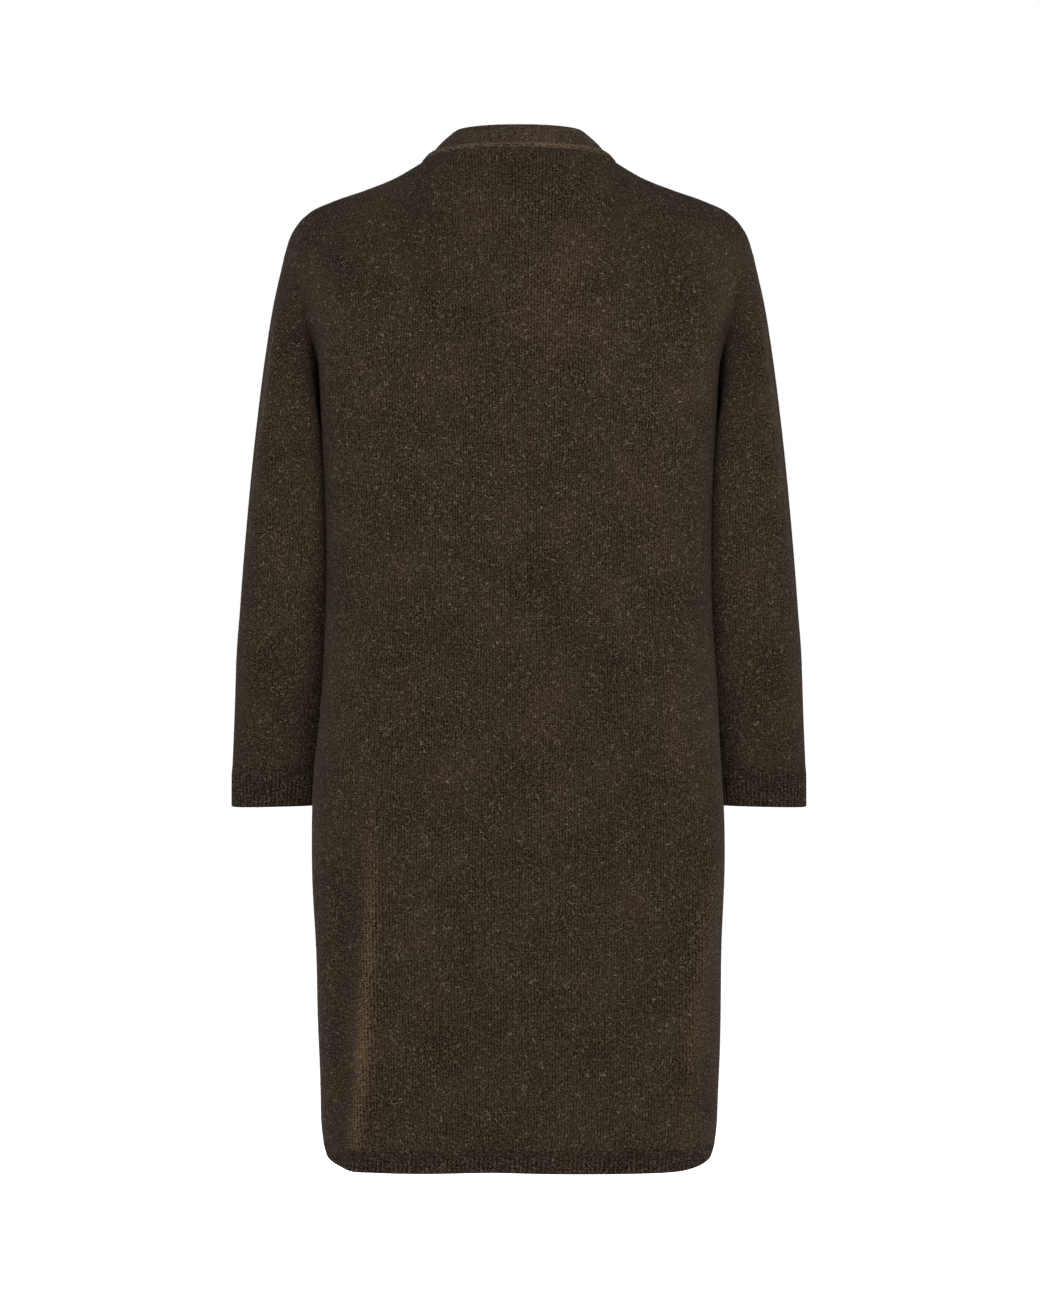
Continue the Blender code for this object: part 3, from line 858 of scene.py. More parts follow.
def knitted_shell(
    name: str,
    points: Array,
    cloth: Array,
    thickness: float,
    finish: Material,
    closed: bool = False,
    inside_out: bool = False,
    crest: Array | None = None,
) -> bpy.types.Object:
    """Makes a shell of cloth from a grid of points.

    Args:
        name: The piece's name.
        points: Rows of points on the outer face. A ring repeats its first point.
        cloth: Each point's place on the flat cloth, in metres.
        thickness: The cloth's thickness.
        finish: Its material.
        closed: Whether the rows are rings, whose ends are joined.
        inside_out: Whether the grid's faces must be turned round.
        crest: How far each point lies on a crest, from 0 to 1, which sets how much painted
            highlight its colour takes; on the ribs its low values leave the grooves in painted
            shade.

    Returns:
        The piece, linked to the scene.
    """
    rows, columns = points.shape[:2]
    shell = bmesh.new()
    bmesh.ops.create_grid(shell, x_segments=columns - 1, y_segments=rows - 1, size=1.0)
    mesh = laid_out(shell, name, points)
    row = read_layer(mesh, "row")
    column = read_layer(mesh, "column")
    corner = np.empty(len(mesh.loops), np.int32)
    mesh.loops.foreach_get("vertex_index", corner)
    layer = mesh.uv_layers.new(name="cloth")
    layer.data.foreach_set("uv", cloth[row, column][corner].astype(np.float32).ravel())
    if crest is not None:
        folds = mesh.attributes.new("crest", "FLOAT", "POINT")
        folds.data.foreach_set("value", crest[row, column].astype(np.float32))
    shell = bmesh.new()
    shell.from_mesh(mesh)
    if closed:
        bmesh.ops.remove_doubles(shell, verts=shell.verts[:], dist=SEAM_MERGE)
    if inside_out:
        bmesh.ops.reverse_faces(shell, faces=shell.faces[:])
    for face in shell.faces:
        face.smooth = True
    for edge in shell.edges:
        edge.smooth = not edge.is_boundary
    shell.to_mesh(mesh)
    shell.free()
    piece = bpy.data.objects.new(name, mesh)
    bpy.context.scene.collection.objects.link(piece)
    wall = piece.modifiers.new("cloth", "SOLIDIFY")
    wall.thickness = thickness
    wall.offset = -1.0
    mesh.materials.append(finish)
    return piece


def read_layer(mesh: bpy.types.Mesh, label: str) -> Array:
    """Reads a whole-number attribute of a mesh's points.

    Args:
        mesh: The mesh.
        label: The attribute's name.

    Returns:
        Its value at each point.
    """
    values = np.empty(len(mesh.vertices), np.int32)
    mesh.attributes[label].data.foreach_get("value", values)
    return values


@dataclass(frozen=True)
class LooseFibres:
    """Short loose fibres that lie on a piece of cloth, each a thin bent ribbon."""

    name: str
    count: int
    seed: int
    shortest: float = 0.0010
    longest: float = 0.0036
    width: float = 0.00024
    rise: float = 0.00055
    bend: float = 0.0006
    lowest: float = 0.3
    narrowest: float = 0.6
    root_share: float = 0.3
    tip_share: float = 0.6

    def build(self, points: Array, outward: Array, finish: Material) -> bpy.types.Object:
        """Scatters the fibres over a grid of cloth.

        Args:
            points: The cloth's outer points.
            outward: The outward direction at each.
            finish: The fibres' material.

        Returns:
            All the fibres as one piece.
        """
        shell = bmesh.new()
        rows = 2 * self.count
        bmesh.ops.create_grid(shell, x_segments=2, y_segments=rows - 1, size=1.0)
        between = [
            face
            for face in shell.faces
            if round((face.calc_center_median().y + 1.0) / 2.0 * (rows - 1) - 0.5) % 2
        ]
        bmesh.ops.delete(shell, geom=between, context="FACES")
        mesh = laid_out(shell, self.name, self.ribbons(points, outward))
        mesh.materials.append(finish)
        piece = bpy.data.objects.new(self.name, mesh)
        bpy.context.scene.collection.objects.link(piece)
        return piece

    def ribbons(self, points: Array, outward: Array) -> Array:
        """Places the two edges of every fibre, each through three points.

        Args:
            points: The cloth's outer points.
            outward: The outward direction at each.

        Returns:
            The points of each edge, two edges to a fibre.
        """
        rng = np.random.default_rng(self.seed)
        across = points[:-1, 1:] - points[:-1, :-1]
        upward = points[1:, :-1] - points[:-1, :-1]
        area = cell_areas(points).ravel()
        cell = rng.choice(len(area), size=self.count, p=area / area.sum())
        row, column = np.divmod(cell, across.shape[1])
        shares = rng.random((self.count, 2))
        base = points[row, column] + across[row, column] * shares[:, :1]
        base = base + upward[row, column] * shares[:, 1:]
        out = outward[row, column]
        side = unit(np.cross(out, unit(across[row, column])))
        turn = rng.random(self.count)[:, None] * 2.0 * math.pi
        way = unit(np.cross(side, out)) * np.cos(turn) + side * np.sin(turn)
        flank = np.cross(out, way)
        length = rng.uniform(self.shortest, self.longest, self.count)[:, None]
        bend = rng.normal(0.0, self.bend, self.count)[:, None]
        high = rng.uniform(self.lowest, 1.0, (self.count, 3)) * self.rise
        half = rng.uniform(self.narrowest, 1.0, self.count)[:, None] * self.width / 2
        spine = [
            base - way * length / 2 + out * high[:, :1] * self.root_share,
            base + flank * bend + out * high[:, 1:2],
            base + way * length / 2 + out * high[:, 2:] * self.tip_share,
        ]
        edges = [np.stack([point + flank * half * sign for point in spine], axis=1)
                 for sign in (-1.0, 1.0)]
        return np.stack(edges, axis=1).reshape(2 * self.count, 3, 3)


def cell_areas(points: Array) -> Array:
    """Measures the cells of a grid of points.

    Args:
        points: The grid.

    Returns:
        The area of each cell.
    """
    across = points[:-1, 1:] - points[:-1, :-1]
    upward = points[1:, :-1] - points[:-1, :-1]
    return np.linalg.norm(np.cross(across, upward), axis=2)


@dataclass(frozen=True)
class Swells:
    """Soft random swells of the cloth, most of them longer than they are wide."""

    seed: int
    count: int
    height: float
    narrowest: float = 0.014
    widest: float = 0.040
    longest: float = 2.2

    def lift(self, cloth: Array) -> Array:
        """Works out the swells of a piece.

        Args:
            cloth: Each point's place on the flat cloth.

        Returns:
            How far each point is lifted.
        """
        rng = np.random.default_rng(self.seed)
        low = cloth.min(axis=(0, 1))
        high = cloth.max(axis=(0, 1))
        rise = np.zeros(cloth.shape[:2])
        for _ in range(self.count):
            middle = rng.uniform(low, high)
            width = rng.uniform(self.narrowest, self.widest)
            spread = width * np.array([1.0, rng.uniform(1.0, self.longest)])
            away = (((cloth - middle) / spread) ** 2).sum(axis=2)
            rise += rng.normal(0.0, self.height) * np.exp(-away)
        return rise


def relaxed(grid: Array, level: float, reach: float, turns: int, edge_power: int) -> Array:
    """Smooths a grid's columns near one height, leaving its two outer columns.

    Args:
        grid: Rows of points.
        level: The height.
        reach: How far from it the smoothing fades.
        turns: How often it is done.
        edge_power: How close to the outer columns it still acts.

    Returns:
        The smoothed grid.
    """
    edge = abs(np.linspace(-1.0, 1.0, grid.shape[1]))[None, :, None]
    for _ in range(turns):
        soft = grid.copy()
        soft[1:-1] = (grid[:-2] + 2.0 * grid[1:-1] + grid[2:]) / 4.0
        share = bump(grid[..., 2:], level, reach) * (1.0 - edge**edge_power)
        grid = grid + (soft - grid) * share
    return grid


def mirrored(points: Array, side: Side) -> Array:
    """The points as they lie on one side of the body."""
    return points * np.array([side.value, 1.0, 1.0])


def lengths(points: Array, axis: int) -> Array:
    """Measures how far along its rows or columns each point of a grid lies.

    Args:
        points: The grid.
        axis: 0 to measure up the columns and 1 along the rows.

    Returns:
        The length from the first point to each.
    """
    steps = np.linalg.norm(np.diff(points, axis=axis), axis=2)
    total = np.cumsum(steps, axis=axis)
    start = np.zeros_like(np.take(total, [0], axis=axis))
    return np.concatenate([start, total], axis=axis)


def laid_flat(across: Array, up: Array) -> Array:
    """Pairs each point's place across the flat cloth with its place up it."""
    return np.stack([np.broadcast_to(across, up.shape), up], axis=2)


@dataclass
class Piece:
    """A piece of the garment, ready to be declared."""

    node: str
    shape: bpy.types.Object
    slot: str
    outer: Array
    outward: Array
    flat: Pair
    area: float | None = None
    on_it: list[bpy.types.Object] = field(default_factory=list)

    def add_fibres(self, density: float, seed: int, finish: Material) -> None:
        """Scatters loose fibres over the piece.

        Args:
            density: How many fibres lie on a square metre.
            seed: The seed of their places.
            finish: Their material.
        """
        count = round(density * cell_areas(self.outer).sum())
        fibres = LooseFibres(f"{self.shape.name}_fibres", count, seed)
        self.on_it.append(fibres.build(self.outer, self.outward, finish))

    def declare(self) -> None:
        """Attaches the piece and what lies on it to the frame's root, hides the solid that it
        stands for and logs its faces.
        """
        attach(self.shape, "root")
        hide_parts(self.node)
        for extra in self.on_it:
            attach(extra, "root")
        LOG.info("%s: %d faces", self.shape.name, len(self.shape.data.polygons))


@dataclass
class BackPanel:
    """The back, from the hem's ribbing to the shoulders and the neck."""

    cut: Cut = CUT
    half_columns: int = 66
    body_rows: int = 124
    yoke_rows: int = 44
    half_cloth: float = 0.265
    thickness: float = 0.0022
    flat: Pair = (0.530, 0.975)
    area: float = 0.470
    chest_reach: float = 0.05
    chest_turns: int = 24
    chest_edge_power: int = 8
    fold_edge_power: int = 16
    painted_highlight_power: float = 2.6
    swells: Swells = Swells(seed=11, count=150, height=0.0009)
    swell_start: float = 0.060
    swell_edge_power: int = 6
    seam_power: int = 24
    # A fold's fourth number is the strength of its painted highlight.
    folds: tuple[SoftFold, ...] = (
        SoftFold(
            ((0.142, -0.520), (0.137, -0.700), (0.144, -0.840), (0.151, -0.943), (0.155, -1.060)),
            0.0095,
            0.0070,
            1.10,
        ),
        SoftFold(((0.164, -0.600), (0.166, -0.800), (0.170, -0.935)), 0.012, -0.0048),
        SoftFold(
            ((-0.182, -0.580), (-0.178, -0.680), (-0.163, -0.800), (-0.153, -0.930)),
            0.0095,
            0.0055,
            0.36,
        ),
        SoftFold(((-0.150, -0.640), (-0.128, -0.940)), 0.018, -0.0030),
        SoftFold(((0.060, -0.580), (0.040, -0.800), (0.020, -1.060)), 0.040, -0.0085),
        SoftFold(((-0.126, -0.225), (-0.129, -0.385)), 0.012, 0.0030, 0.15),
        SoftFold(((-0.140, -0.415), (-0.146, -0.600)), 0.012, 0.0030, 0.15),
        SoftFold(((0.112, -0.330), (0.090, -0.580)), 0.024, 0.0034, 0.15),
        SoftFold(((0.080, -0.480), (0.077, -0.640)), 0.010, -0.0024),
        SoftFold(((-0.018, -0.460), (-0.032, -0.640)), 0.030, 0.0030, 0.12),
        SoftFold(((-0.042, -0.030), (-0.038, -0.230)), 0.045, 0.0036, 0.20),
    )

    def base_grid(self) -> Array:
        """Works out the back's points without its folds.

        Returns:
            Rows of points, from the rib up.
        """
        cut = self.cut
        fractions = np.linspace(0.0, 1.0, self.half_columns + 1)
        halves = [
            along(cut.back_section(height), fractions)
            for height in np.linspace(cut.hem_rib_top, cut.underarm, self.body_rows)
        ]
        chest = halves.pop()
        top = self.top_row(fractions)
        for angle in np.linspace(180.0, 0.0, self.yoke_rows + 1):
            row = cut.yoke_row(angle, chest, top)
            pull = cut.armhole_point(angle, 1.0) - row[-1]
            halves.append(row + np.outer(fractions**cut.edge_power, pull))
        left = np.array(halves)
        right = mirrored(left[:, :0:-1], Side.RIGHT)
        whole = np.concatenate([right, left], axis=1)
        return relaxed(
            whole, cut.underarm, self.chest_reach, self.chest_turns, self.chest_edge_power
        )

    def top_row(self, fractions: Array) -> Array:
        """Draws the left half of the row along the neck and the shoulder.

        Args:
            fractions: Shares of the row, from the middle of the neck.

        Returns:
            Its points.
        """
        share = self.cut.neck_share
        neck = along(self.cut.neck_curve(), np.clip(fractions / share, 0.0, 1.0))
        ridge = np.clip((fractions - share) / (1.0 - share), 0.0, 1.0)
        shoulder = along(self.cut.shoulder_curve(), ridge)
        return np.where((fractions <= share)[:, None], neck, shoulder)

    def fold_rise(self, points: Array) -> Array:
        """Works out the folds' rise, which fades at the side seams.

        Args:
            points: Rows of points from side to side.

        Returns:
            How far each point is lifted.
        """
        bells = fold_bells(self.folds, points)
        edge = abs(np.linspace(-1.0, 1.0, points.shape[1])) ** self.fold_edge_power
        return sum(fold.rise * bell for fold, bell in zip(self.folds, bells)) * (1.0 - edge)

    def painted_highlight(self, points: Array) -> Array:
        """How far each point takes the painted highlight of a fold's crest, from 0 to 1."""
        bells = fold_bells(self.folds, points)
        return sum(fold.painted_highlight * bell**self.painted_highlight_power for fold, bell in zip(self.folds, bells))

    def build(self, finish: Material) -> Piece:
        """Models the back.

        Args:
            finish: Its material.

        Returns:
            The piece.
        """
        base = self.base_grid()
        normals = grid_normals(base)
        folds = self.fold_rise(base)
        across = np.linspace(-self.half_cloth, self.half_cloth, base.shape[1])
        up = lengths(base, 0)
        cloth = laid_flat(across, up)
        swells = self.swells.lift(cloth)
        swells *= 1.0 - (abs(across) / self.half_cloth) ** self.swell_edge_power
        swells *= ease(up / self.swell_start)
        rise = folds + swells
        rise *= 1.0 - np.linspace(0.0, 1.0, len(base))[:, None] ** self.seam_power
        points = base + normals * rise[..., None]
        # Painted highlight along the crests of the folds.
        crest = np.clip(self.painted_highlight(base), 0.0, 1.0)
        shape = knitted_shell(
            "knit_back", points, cloth, self.thickness, finish, inside_out=True, crest=crest
        )
        outward = grid_normals(points)
        return Piece("back", shape, "wool", points, outward, self.flat, self.area)


def fold_bells(folds: Sequence[SoftFold], points: Array) -> list[Array]:
    """Finds how far each point lies within each of a set of soft folds.

    Args:
        folds: The folds, by place across and height.
        points: The grid that they lie on.

    Returns:
        For each fold, a share from 0 to 1 at each point.
    """
    bells = []
    for fold in folds:
        out, height = zip(*reversed(fold.line))
        middle = smooth_value(height, out, points[..., 2])
        part = (height[-1] - points[..., 2]) / (height[-1] - height[0])
        fade = ease(part * FOLD_FADE_IN) * ease((FOLD_TAIL - part) * FOLD_FADE_OUT)
        bells.append(bump(points[..., 0], middle, fold.width) * fade)
    return bells


@dataclass
class FrontPanel:
    """One front: plain at the side, then falling in folds to its free edge."""

    side: Side
    cut: Cut = CUT
    plain_columns: int = 20
    fold_columns: int = 16
    body_rows: int = 110
    yoke_rows: int = 40
    thickness: float = 0.0022
    widest_cloth: float = 0.360
    flat: Pair = (0.360, 0.960)
    area: float = 0.240
    swells: Swells = Swells(seed=21, count=90, height=0.0008)
    row_fade: float = 0.25
    column_fade: float = 0.5

    def row(self, height: float) -> Array:
        """Works out one row of the left front, which dips toward its free edge.

        Args:
            height: The height of its side seam.

        Returns:
            The row's points, from the side seam.
        """
        plain, folded = self.cut.front_section(height)
        body = along(plain, np.linspace(0.0, 1.0, self.plain_columns + 1))
        count = self.fold_columns * len(self.cut.front_folds)
        drape = along(folded, np.linspace(0.0, 1.0, count + 1))
        row = np.concatenate([body, drape[1:]])
        part = ease(np.linspace(0.0, 1.0, len(row)))
        down = max(0.0, (self.cut.underarm - height) / (self.cut.underarm - self.cut.hem))
        row[:, 2] -= self.cut.drape_dip * down * part
        return row

    def grid(self) -> Array:
        """Works out the left front's points.

        Returns:
            Rows of points, from the rib up.
        """
        cut = self.cut
        heights = np.linspace(cut.hem_rib_top, cut.underarm, self.body_rows)
        rows = [self.row(height) for height in heights]
        chest = rows.pop()
        steps = np.linalg.norm(np.diff(chest, axis=0), axis=1)
        fractions = np.concatenate([[0.0], np.cumsum(steps)]) / steps.sum()
        top = along(cut.shoulder_curve()[::-1], fractions)
        for angle in np.linspace(180.0, 0.0, self.yoke_rows + 1):
            row = cut.yoke_row(angle, chest, top)
            pull = cut.armhole_point(angle, -1.0) - row[0]
            rows.append(row + np.outer((1.0 - fractions) ** cut.edge_power, pull))
        return np.array(rows)

    def build(self, finish: Material) -> Piece:
        """Models the front.

        Args:
            finish: Its material.

        Returns:
            The piece.
        """
        base = self.grid()
        across = lengths(base, 1)[0] / lengths(base, 1)[0, -1] * self.widest_cloth
        up = lengths(base, 0)
        cloth = laid_flat(across, up)
        rise = self.swells.lift(cloth)
        rise *= np.sin(np.linspace(0.0, math.pi, len(base)))[:, None] ** self.row_fade
        rise *= np.sin(np.linspace(0.0, math.pi, base.shape[1])) ** self.column_fade
        normals = grid_normals(base)
        points = mirrored(base + normals * rise[..., None], self.side)
        node = f"front_{self.side.word}"
        turned = self.side is Side.LEFT
        shape = knitted_shell(
            f"knit_{node}", points, cloth, self.thickness, finish, inside_out=turned
        )
        outward = mirrored(normals, self.side)
        return Piece(node, shape, "wool", points, outward, self.flat, self.area)


@dataclass
class Sleeve:
    """One sleeve, from the armhole to the cuff."""

    side: Side
    cut: Cut = CUT
    columns: int = 72
    rows: int = 96
    thickness: float = 0.0022
    flat_width: float = 0.350
    flat: Pair = (0.350, 0.470)
    area: float = 0.135
    swells: Swells = Swells(seed=31, count=50, height=0.0009)
    fold_fade: float = 4.0
    rings: tuple[SleeveRing, ...] = (
        SleeveRing(-0.141, 0.2362, -0.234, 0.1878, 0.000, 0.0650, 2.2, 3.2),
        SleeveRing(-0.189, 0.2436, -0.266, 0.1838, 0.000, 0.0660, 2.4, 4.2),
        SleeveRing(-0.250, 0.2510, -0.302, 0.1815, -0.002, 0.0660, 2.6, 5.0),
        SleeveRing(-0.330, 0.2592, -0.352, 0.1775, -0.006, 0.0640, 2.7, 5.0),
        SleeveRing(-0.410, 0.2667, -0.418, 0.1775, -0.012, 0.0600, 2.7, 4.6),
        SleeveRing(-0.500, 0.2735, -0.500, 0.1820, -0.024, 0.0500, 2.6, 4.0),
        SleeveRing(-0.578, 0.2776, -0.578, 0.1895, -0.034, 0.0415, 2.5, 3.4),
    )
    folds: tuple[SleeveFold, ...] = (
        SleeveFold(57.0, 12.0, 0.03, 0.52, 9.0, 0.0036),
        SleeveFold(30.0, 8.0, 0.05, 0.66, 12.0, -0.0020),
        SleeveFold(150.0, 20.0, 0.02, 0.30, 16.0, -0.0030),
        SleeveFold(95.0, 35.0, 0.42, 0.66, 14.0, -0.0026),
        SleeveFold(250.0, -40.0, 0.38, 0.62, 16.0, -0.0040),
        SleeveFold(300.0, 30.0, 0.46, 0.74, 15.0, 0.0032),
    )

    def ring_points(self, ring: SleeveRing, columns: int) -> Array:
        """Draws one ring of the left sleeve, closed, from its outer line.

        Args:
            ring: Where the ring lies, and its form.
            columns: The number of its steps.

        Returns:
            Its points, the first of them twice.
        """
        outer = np.array([ring.outer, ring.middle, ring.outer_height])
        inner = np.array([ring.inner, ring.middle, ring.inner_height])
        angle = np.linspace(0.0, 2.0 * math.pi, 4 * CURVE_POINTS + 1)
        nook = (angle > math.pi / 2) & (angle < math.pi)
        power = np.where(nook, ring.nook, ring.power)
        across = np.sign(np.cos(angle)) * abs(np.cos(angle)) ** (2.0 / power)
        back = np.sign(np.sin(angle)) * abs(np.sin(angle)) ** (2.0 / power)
        depth = np.array([0.0, ring.half_depth, 0.0])
        middle = (outer + inner) / 2
        around = middle + np.outer(across, (outer - inner) / 2) + np.outer(back, depth)
        return along(around, np.linspace(0.0, 1.0, columns + 1))

    def armhole_ring(self) -> Array:
        """Draws the left armhole, closed, from the shoulder's end.

        Returns:
            Its points, the first of them twice.
        """
        points = []
        for turn in np.linspace(0.0, 360.0, CURVE_POINTS + 1):
            back = 1.0 if turn <= 180.0 else -1.0
            angle = turn if back > 0 else 360.0 - turn
            points.append(self.cut.armhole_point(angle, back))
        return along(np.array(points), np.linspace(0.0, 1.0, self.columns + 1))

    def grid(self) -> Array:
        """Works out the left sleeve's points, without its folds.

        Returns:
            Rings of points, from the cuff up.
        """
        known = [self.ring_points(ring, self.columns) for ring in reversed(self.rings)]
        known = np.array(known + [self.armhole_ring()])
        middle = known.mean(axis=1)
        steps = np.linalg.norm(np.diff(middle, axis=0), axis=1)
        knots = np.concatenate([[0.0], np.cumsum(steps)]) / steps.sum()
        places = np.linspace(0.0, 1.0, self.rows + 1)
        flat = known.reshape(len(known), -1)
        columns = [smooth_value(knots, flat[:, index], places) for index in range(flat.shape[1])]
        return np.stack(columns, axis=1).reshape(len(places), self.columns + 1, 3)

    def lift(self, shape: tuple[int, int]) -> Array:
        """Works out the rise of the sleeve's folds.

        Args:
            shape: The number of its rows and columns.

        Returns:
            How far each point is lifted.
        """
        down = 1.0 - np.linspace(0.0, 1.0, shape[0])[:, None]
        angle = np.linspace(0.0, 360.0, shape[1])[None, :]
        rise = np.zeros(shape)
        for fold in self.folds:
            part = (down - fold.start) / (fold.end - fold.start)
            away = (angle - fold.angle - fold.turn * part + 180.0) % 360.0 - 180.0
            fade = ease(part * self.fold_fade) * ease((1.0 - part) * self.fold_fade)
            rise += fold.rise * bump(away, 0.0, fold.width) * fade
        return rise

    def build(self, finish: Material) -> Piece:
        """Models the sleeve.

        Args:
            finish: Its material.

        Returns:
            The piece.
        """
        base = self.grid()
        normals = -grid_normals(base[:, :-1], closed=True)
        normals = np.concatenate([normals, normals[:, :1]], axis=1)
        across = np.linspace(0.0, self.flat_width, base.shape[1])
        up = lengths(base, 0)
        cloth = laid_flat(across, up)
        swells = self.swells.lift(cloth)
        swells *= np.sin(np.linspace(0.0, math.pi, len(base)))[:, None]
        rise = self.lift(base.shape[:2]) + swells
        points = base + normals * rise[..., None]
        points[:, -1] = points[:, 0]
        points = mirrored(points, self.side)
        node = f"sleeve_{self.side.word}"
        turned = self.side is Side.RIGHT
        shape = knitted_shell(
            f"knit_{node}", points, cloth, self.thickness, finish, closed=True, inside_out=turned
        )
        outward = mirrored(normals, self.side)
        return Piece(node, shape, "wool", points, outward, self.flat, self.area)


@dataclass
class RolledBand:
    """A band knitted twice as wide as it shows and folded over at its free edge."""

    thickness: float = 0.0015
    profile: tuple[BandStep, ...] = (
        BandStep(0.00, 0.0006),
        BandStep(0.12, 0.0000),
        BandStep(0.35, -0.0004),
        BandStep(0.65, -0.0005),
        BandStep(0.88, 0.0000),
        BandStep(0.97, 0.0008),
        BandStep(1.00, 0.0020),
        BandStep(0.97, 0.0032),
        BandStep(0.88, 0.0039),
        BandStep(0.50, 0.0041),
        BandStep(0.00, 0.0038),
    )
    steps: int = 34
    share_weight: float = 10.0
    depth_weight: float = 250.0

    def steps_of(self, profile: Sequence[BandStep]) -> Array:
        """Reads a band's profile at even steps along it.

        Args:
            profile: The band's profile.

        Returns:
            The share across the band and the depth behind its face, at each step.
        """
        weights = (self.share_weight, self.depth_weight)
        known = [[step.share * weights[0], step.depth * weights[1], 0.0] for step in profile]
        known = np.array(known)
        knots = np.arange(len(profile), dtype=float)
        places = np.linspace(0.0, knots[-1], CURVE_POINTS)
        curve = np.stack([smooth_value(knots, known[:, axis], places) for axis in range(3)], axis=1)
        even = along(curve, np.linspace(0.0, 1.0, self.steps + 1))
        return even[:, :2] / np.array(weights)

    def sweep(self, seam: Array, edge: Array, face: Array, profile: Sequence[BandStep]) -> Array:
        """Carries the profile along the band.

        Args:
            seam: Points along its seam.
            edge: Points along its free edge.
            face: The outward direction at each.
            profile: The band's profile.

        Returns:
            A row of points for each step of the profile.
        """
        rows = []
        for share, depth in self.steps_of(profile):
            rows.append(seam + (edge - seam) * share - face * depth)
        return np.array(rows)


@dataclass
class NeckBand(RolledBand):
    """The collar band round the back of the neck, with the welt of its seam."""

    cut: Cut = CUT
    columns: int = 120
    steps: int = 46
    welt_middle: float = 0.11
    welt_width: float = 0.11
    welt_rise: float = 0.0022
    welt_fade: int = 5
    flat: Pair = (0.265, 0.074)
    profile: tuple[BandStep, ...] = (
        BandStep(-0.01, 0.0030),
        BandStep(0.00, 0.0006),
        BandStep(0.05, -0.0016),
        BandStep(0.12, -0.0019),
        BandStep(0.19, -0.0012),
        BandStep(0.25, 0.0004),
        BandStep(0.32, 0.0003),
        BandStep(0.50, -0.0005),
        BandStep(0.75, -0.0004),
        BandStep(0.92, 0.0001),
        BandStep(0.98, 0.0008),
        BandStep(1.01, 0.0020),
        BandStep(0.98, 0.0034),
        BandStep(0.88, 0.0041),
        BandStep(0.50, 0.0042),
        BandStep(0.10, 0.0040),
    )

    def build(self, finish: Material) -> Piece:
        """Models the band.

        Args:
            finish: Its material.

        Returns:
            The piece.
        """
        fractions = np.linspace(0.0, 1.0, self.columns // 2 + 1)
        seam = both_halves(along(self.cut.neck_curve(), fractions))
        edge = both_halves(along(self.cut.collar_curve(), fractions))
        face = unit(np.cross(edge - seam, np.gradient(seam, axis=0)))
        points = self.sweep(seam, edge, face, self.profile)
        away = abs(np.linspace(-1.0, 1.0, len(seam))) ** self.welt_fade
        share = np.array([step[0] for step in self.steps_of(self.profile)])
        welt = bump(share, self.welt_middle, self.welt_width)
        points -= face * (welt[:, None] * away * self.welt_rise)[..., None]
        cloth = laid_flat(lengths(points, 1), lengths(points, 0))
        outer_half = np.linspace(0.0, 1.0, len(share)) < 0.5
        # Painted highlight along the outer half of the welt.
        crest = np.broadcast_to((welt * outer_half)[:, None], cloth.shape[:2])
        shape = knitted_shell(
            "knit_neck_band", points, cloth, self.thickness, finish, inside_out=True, crest=crest
        )
        outward = grid_normals(points)
        return Piece("neck_band", shape, "band_wool", points, outward, self.flat)


def both_halves(half: Array) -> Array:
    """A row from the right side to the left, from its left half."""
    return np.concatenate([mirrored(half[:0:-1], Side.RIGHT), half])


@dataclass
class FrontBand(RolledBand):
    """The band down the free edge of one front."""

    side: Side = Side.LEFT
    cut: Cut = CUT
    flat: Pair = (0.090, 1.030)
    tail_rows: int = 8
    turn_forward: float = -0.12
    turn_power: int = 2

    def build(self, front: FrontPanel, finish: Material) -> Piece:
        """Models the band.

        Args:
            front: The front that it finishes.
            finish: Its material.

        Returns:
            The piece.
        """
        seam = front.grid()[:, -1]
        tail = np.linspace(self.cut.hem - self.cut.hem_rib_top, 0.0, self.tail_rows)[:-1, None]
        below = seam[0] + tail * np.array([0.0, 0.0, 1.0])
        seam = np.concatenate([below, seam])
        rise = np.clip(1.0 - seam[:, 2] / self.cut.underarm, 0.0, 1.0)[:, None]
        rise = rise**self.turn_power
        collar = self.cut.collar_curve()[-1] - self.cut.neck_curve()[-1]
        level = unit(np.array([-1.0, self.turn_forward, 0.0]))
        heading = unit(level * (1.0 - rise) + unit(collar) * rise)
        width = self.cut.front_band + (np.linalg.norm(collar) - self.cut.front_band) * rise
        edge = seam + heading * width
        face = unit(np.cross(np.gradient(seam, axis=0), heading))
        points = self.sweep(seam, edge, face, self.profile).transpose(1, 0, 2)
        cloth = laid_flat(lengths(points, 0), lengths(points, 1))
        outward = mirrored(grid_normals(points), self.side)
        points = mirrored(points, self.side)
        node = f"front_band_{self.side.word}"
        turned = self.side is Side.LEFT
        shape = knitted_shell(
            f"knit_{node}", points, cloth, self.thickness, finish, inside_out=turned
        )
        return Piece(node, shape, "band_wool", points, outward, self.flat)


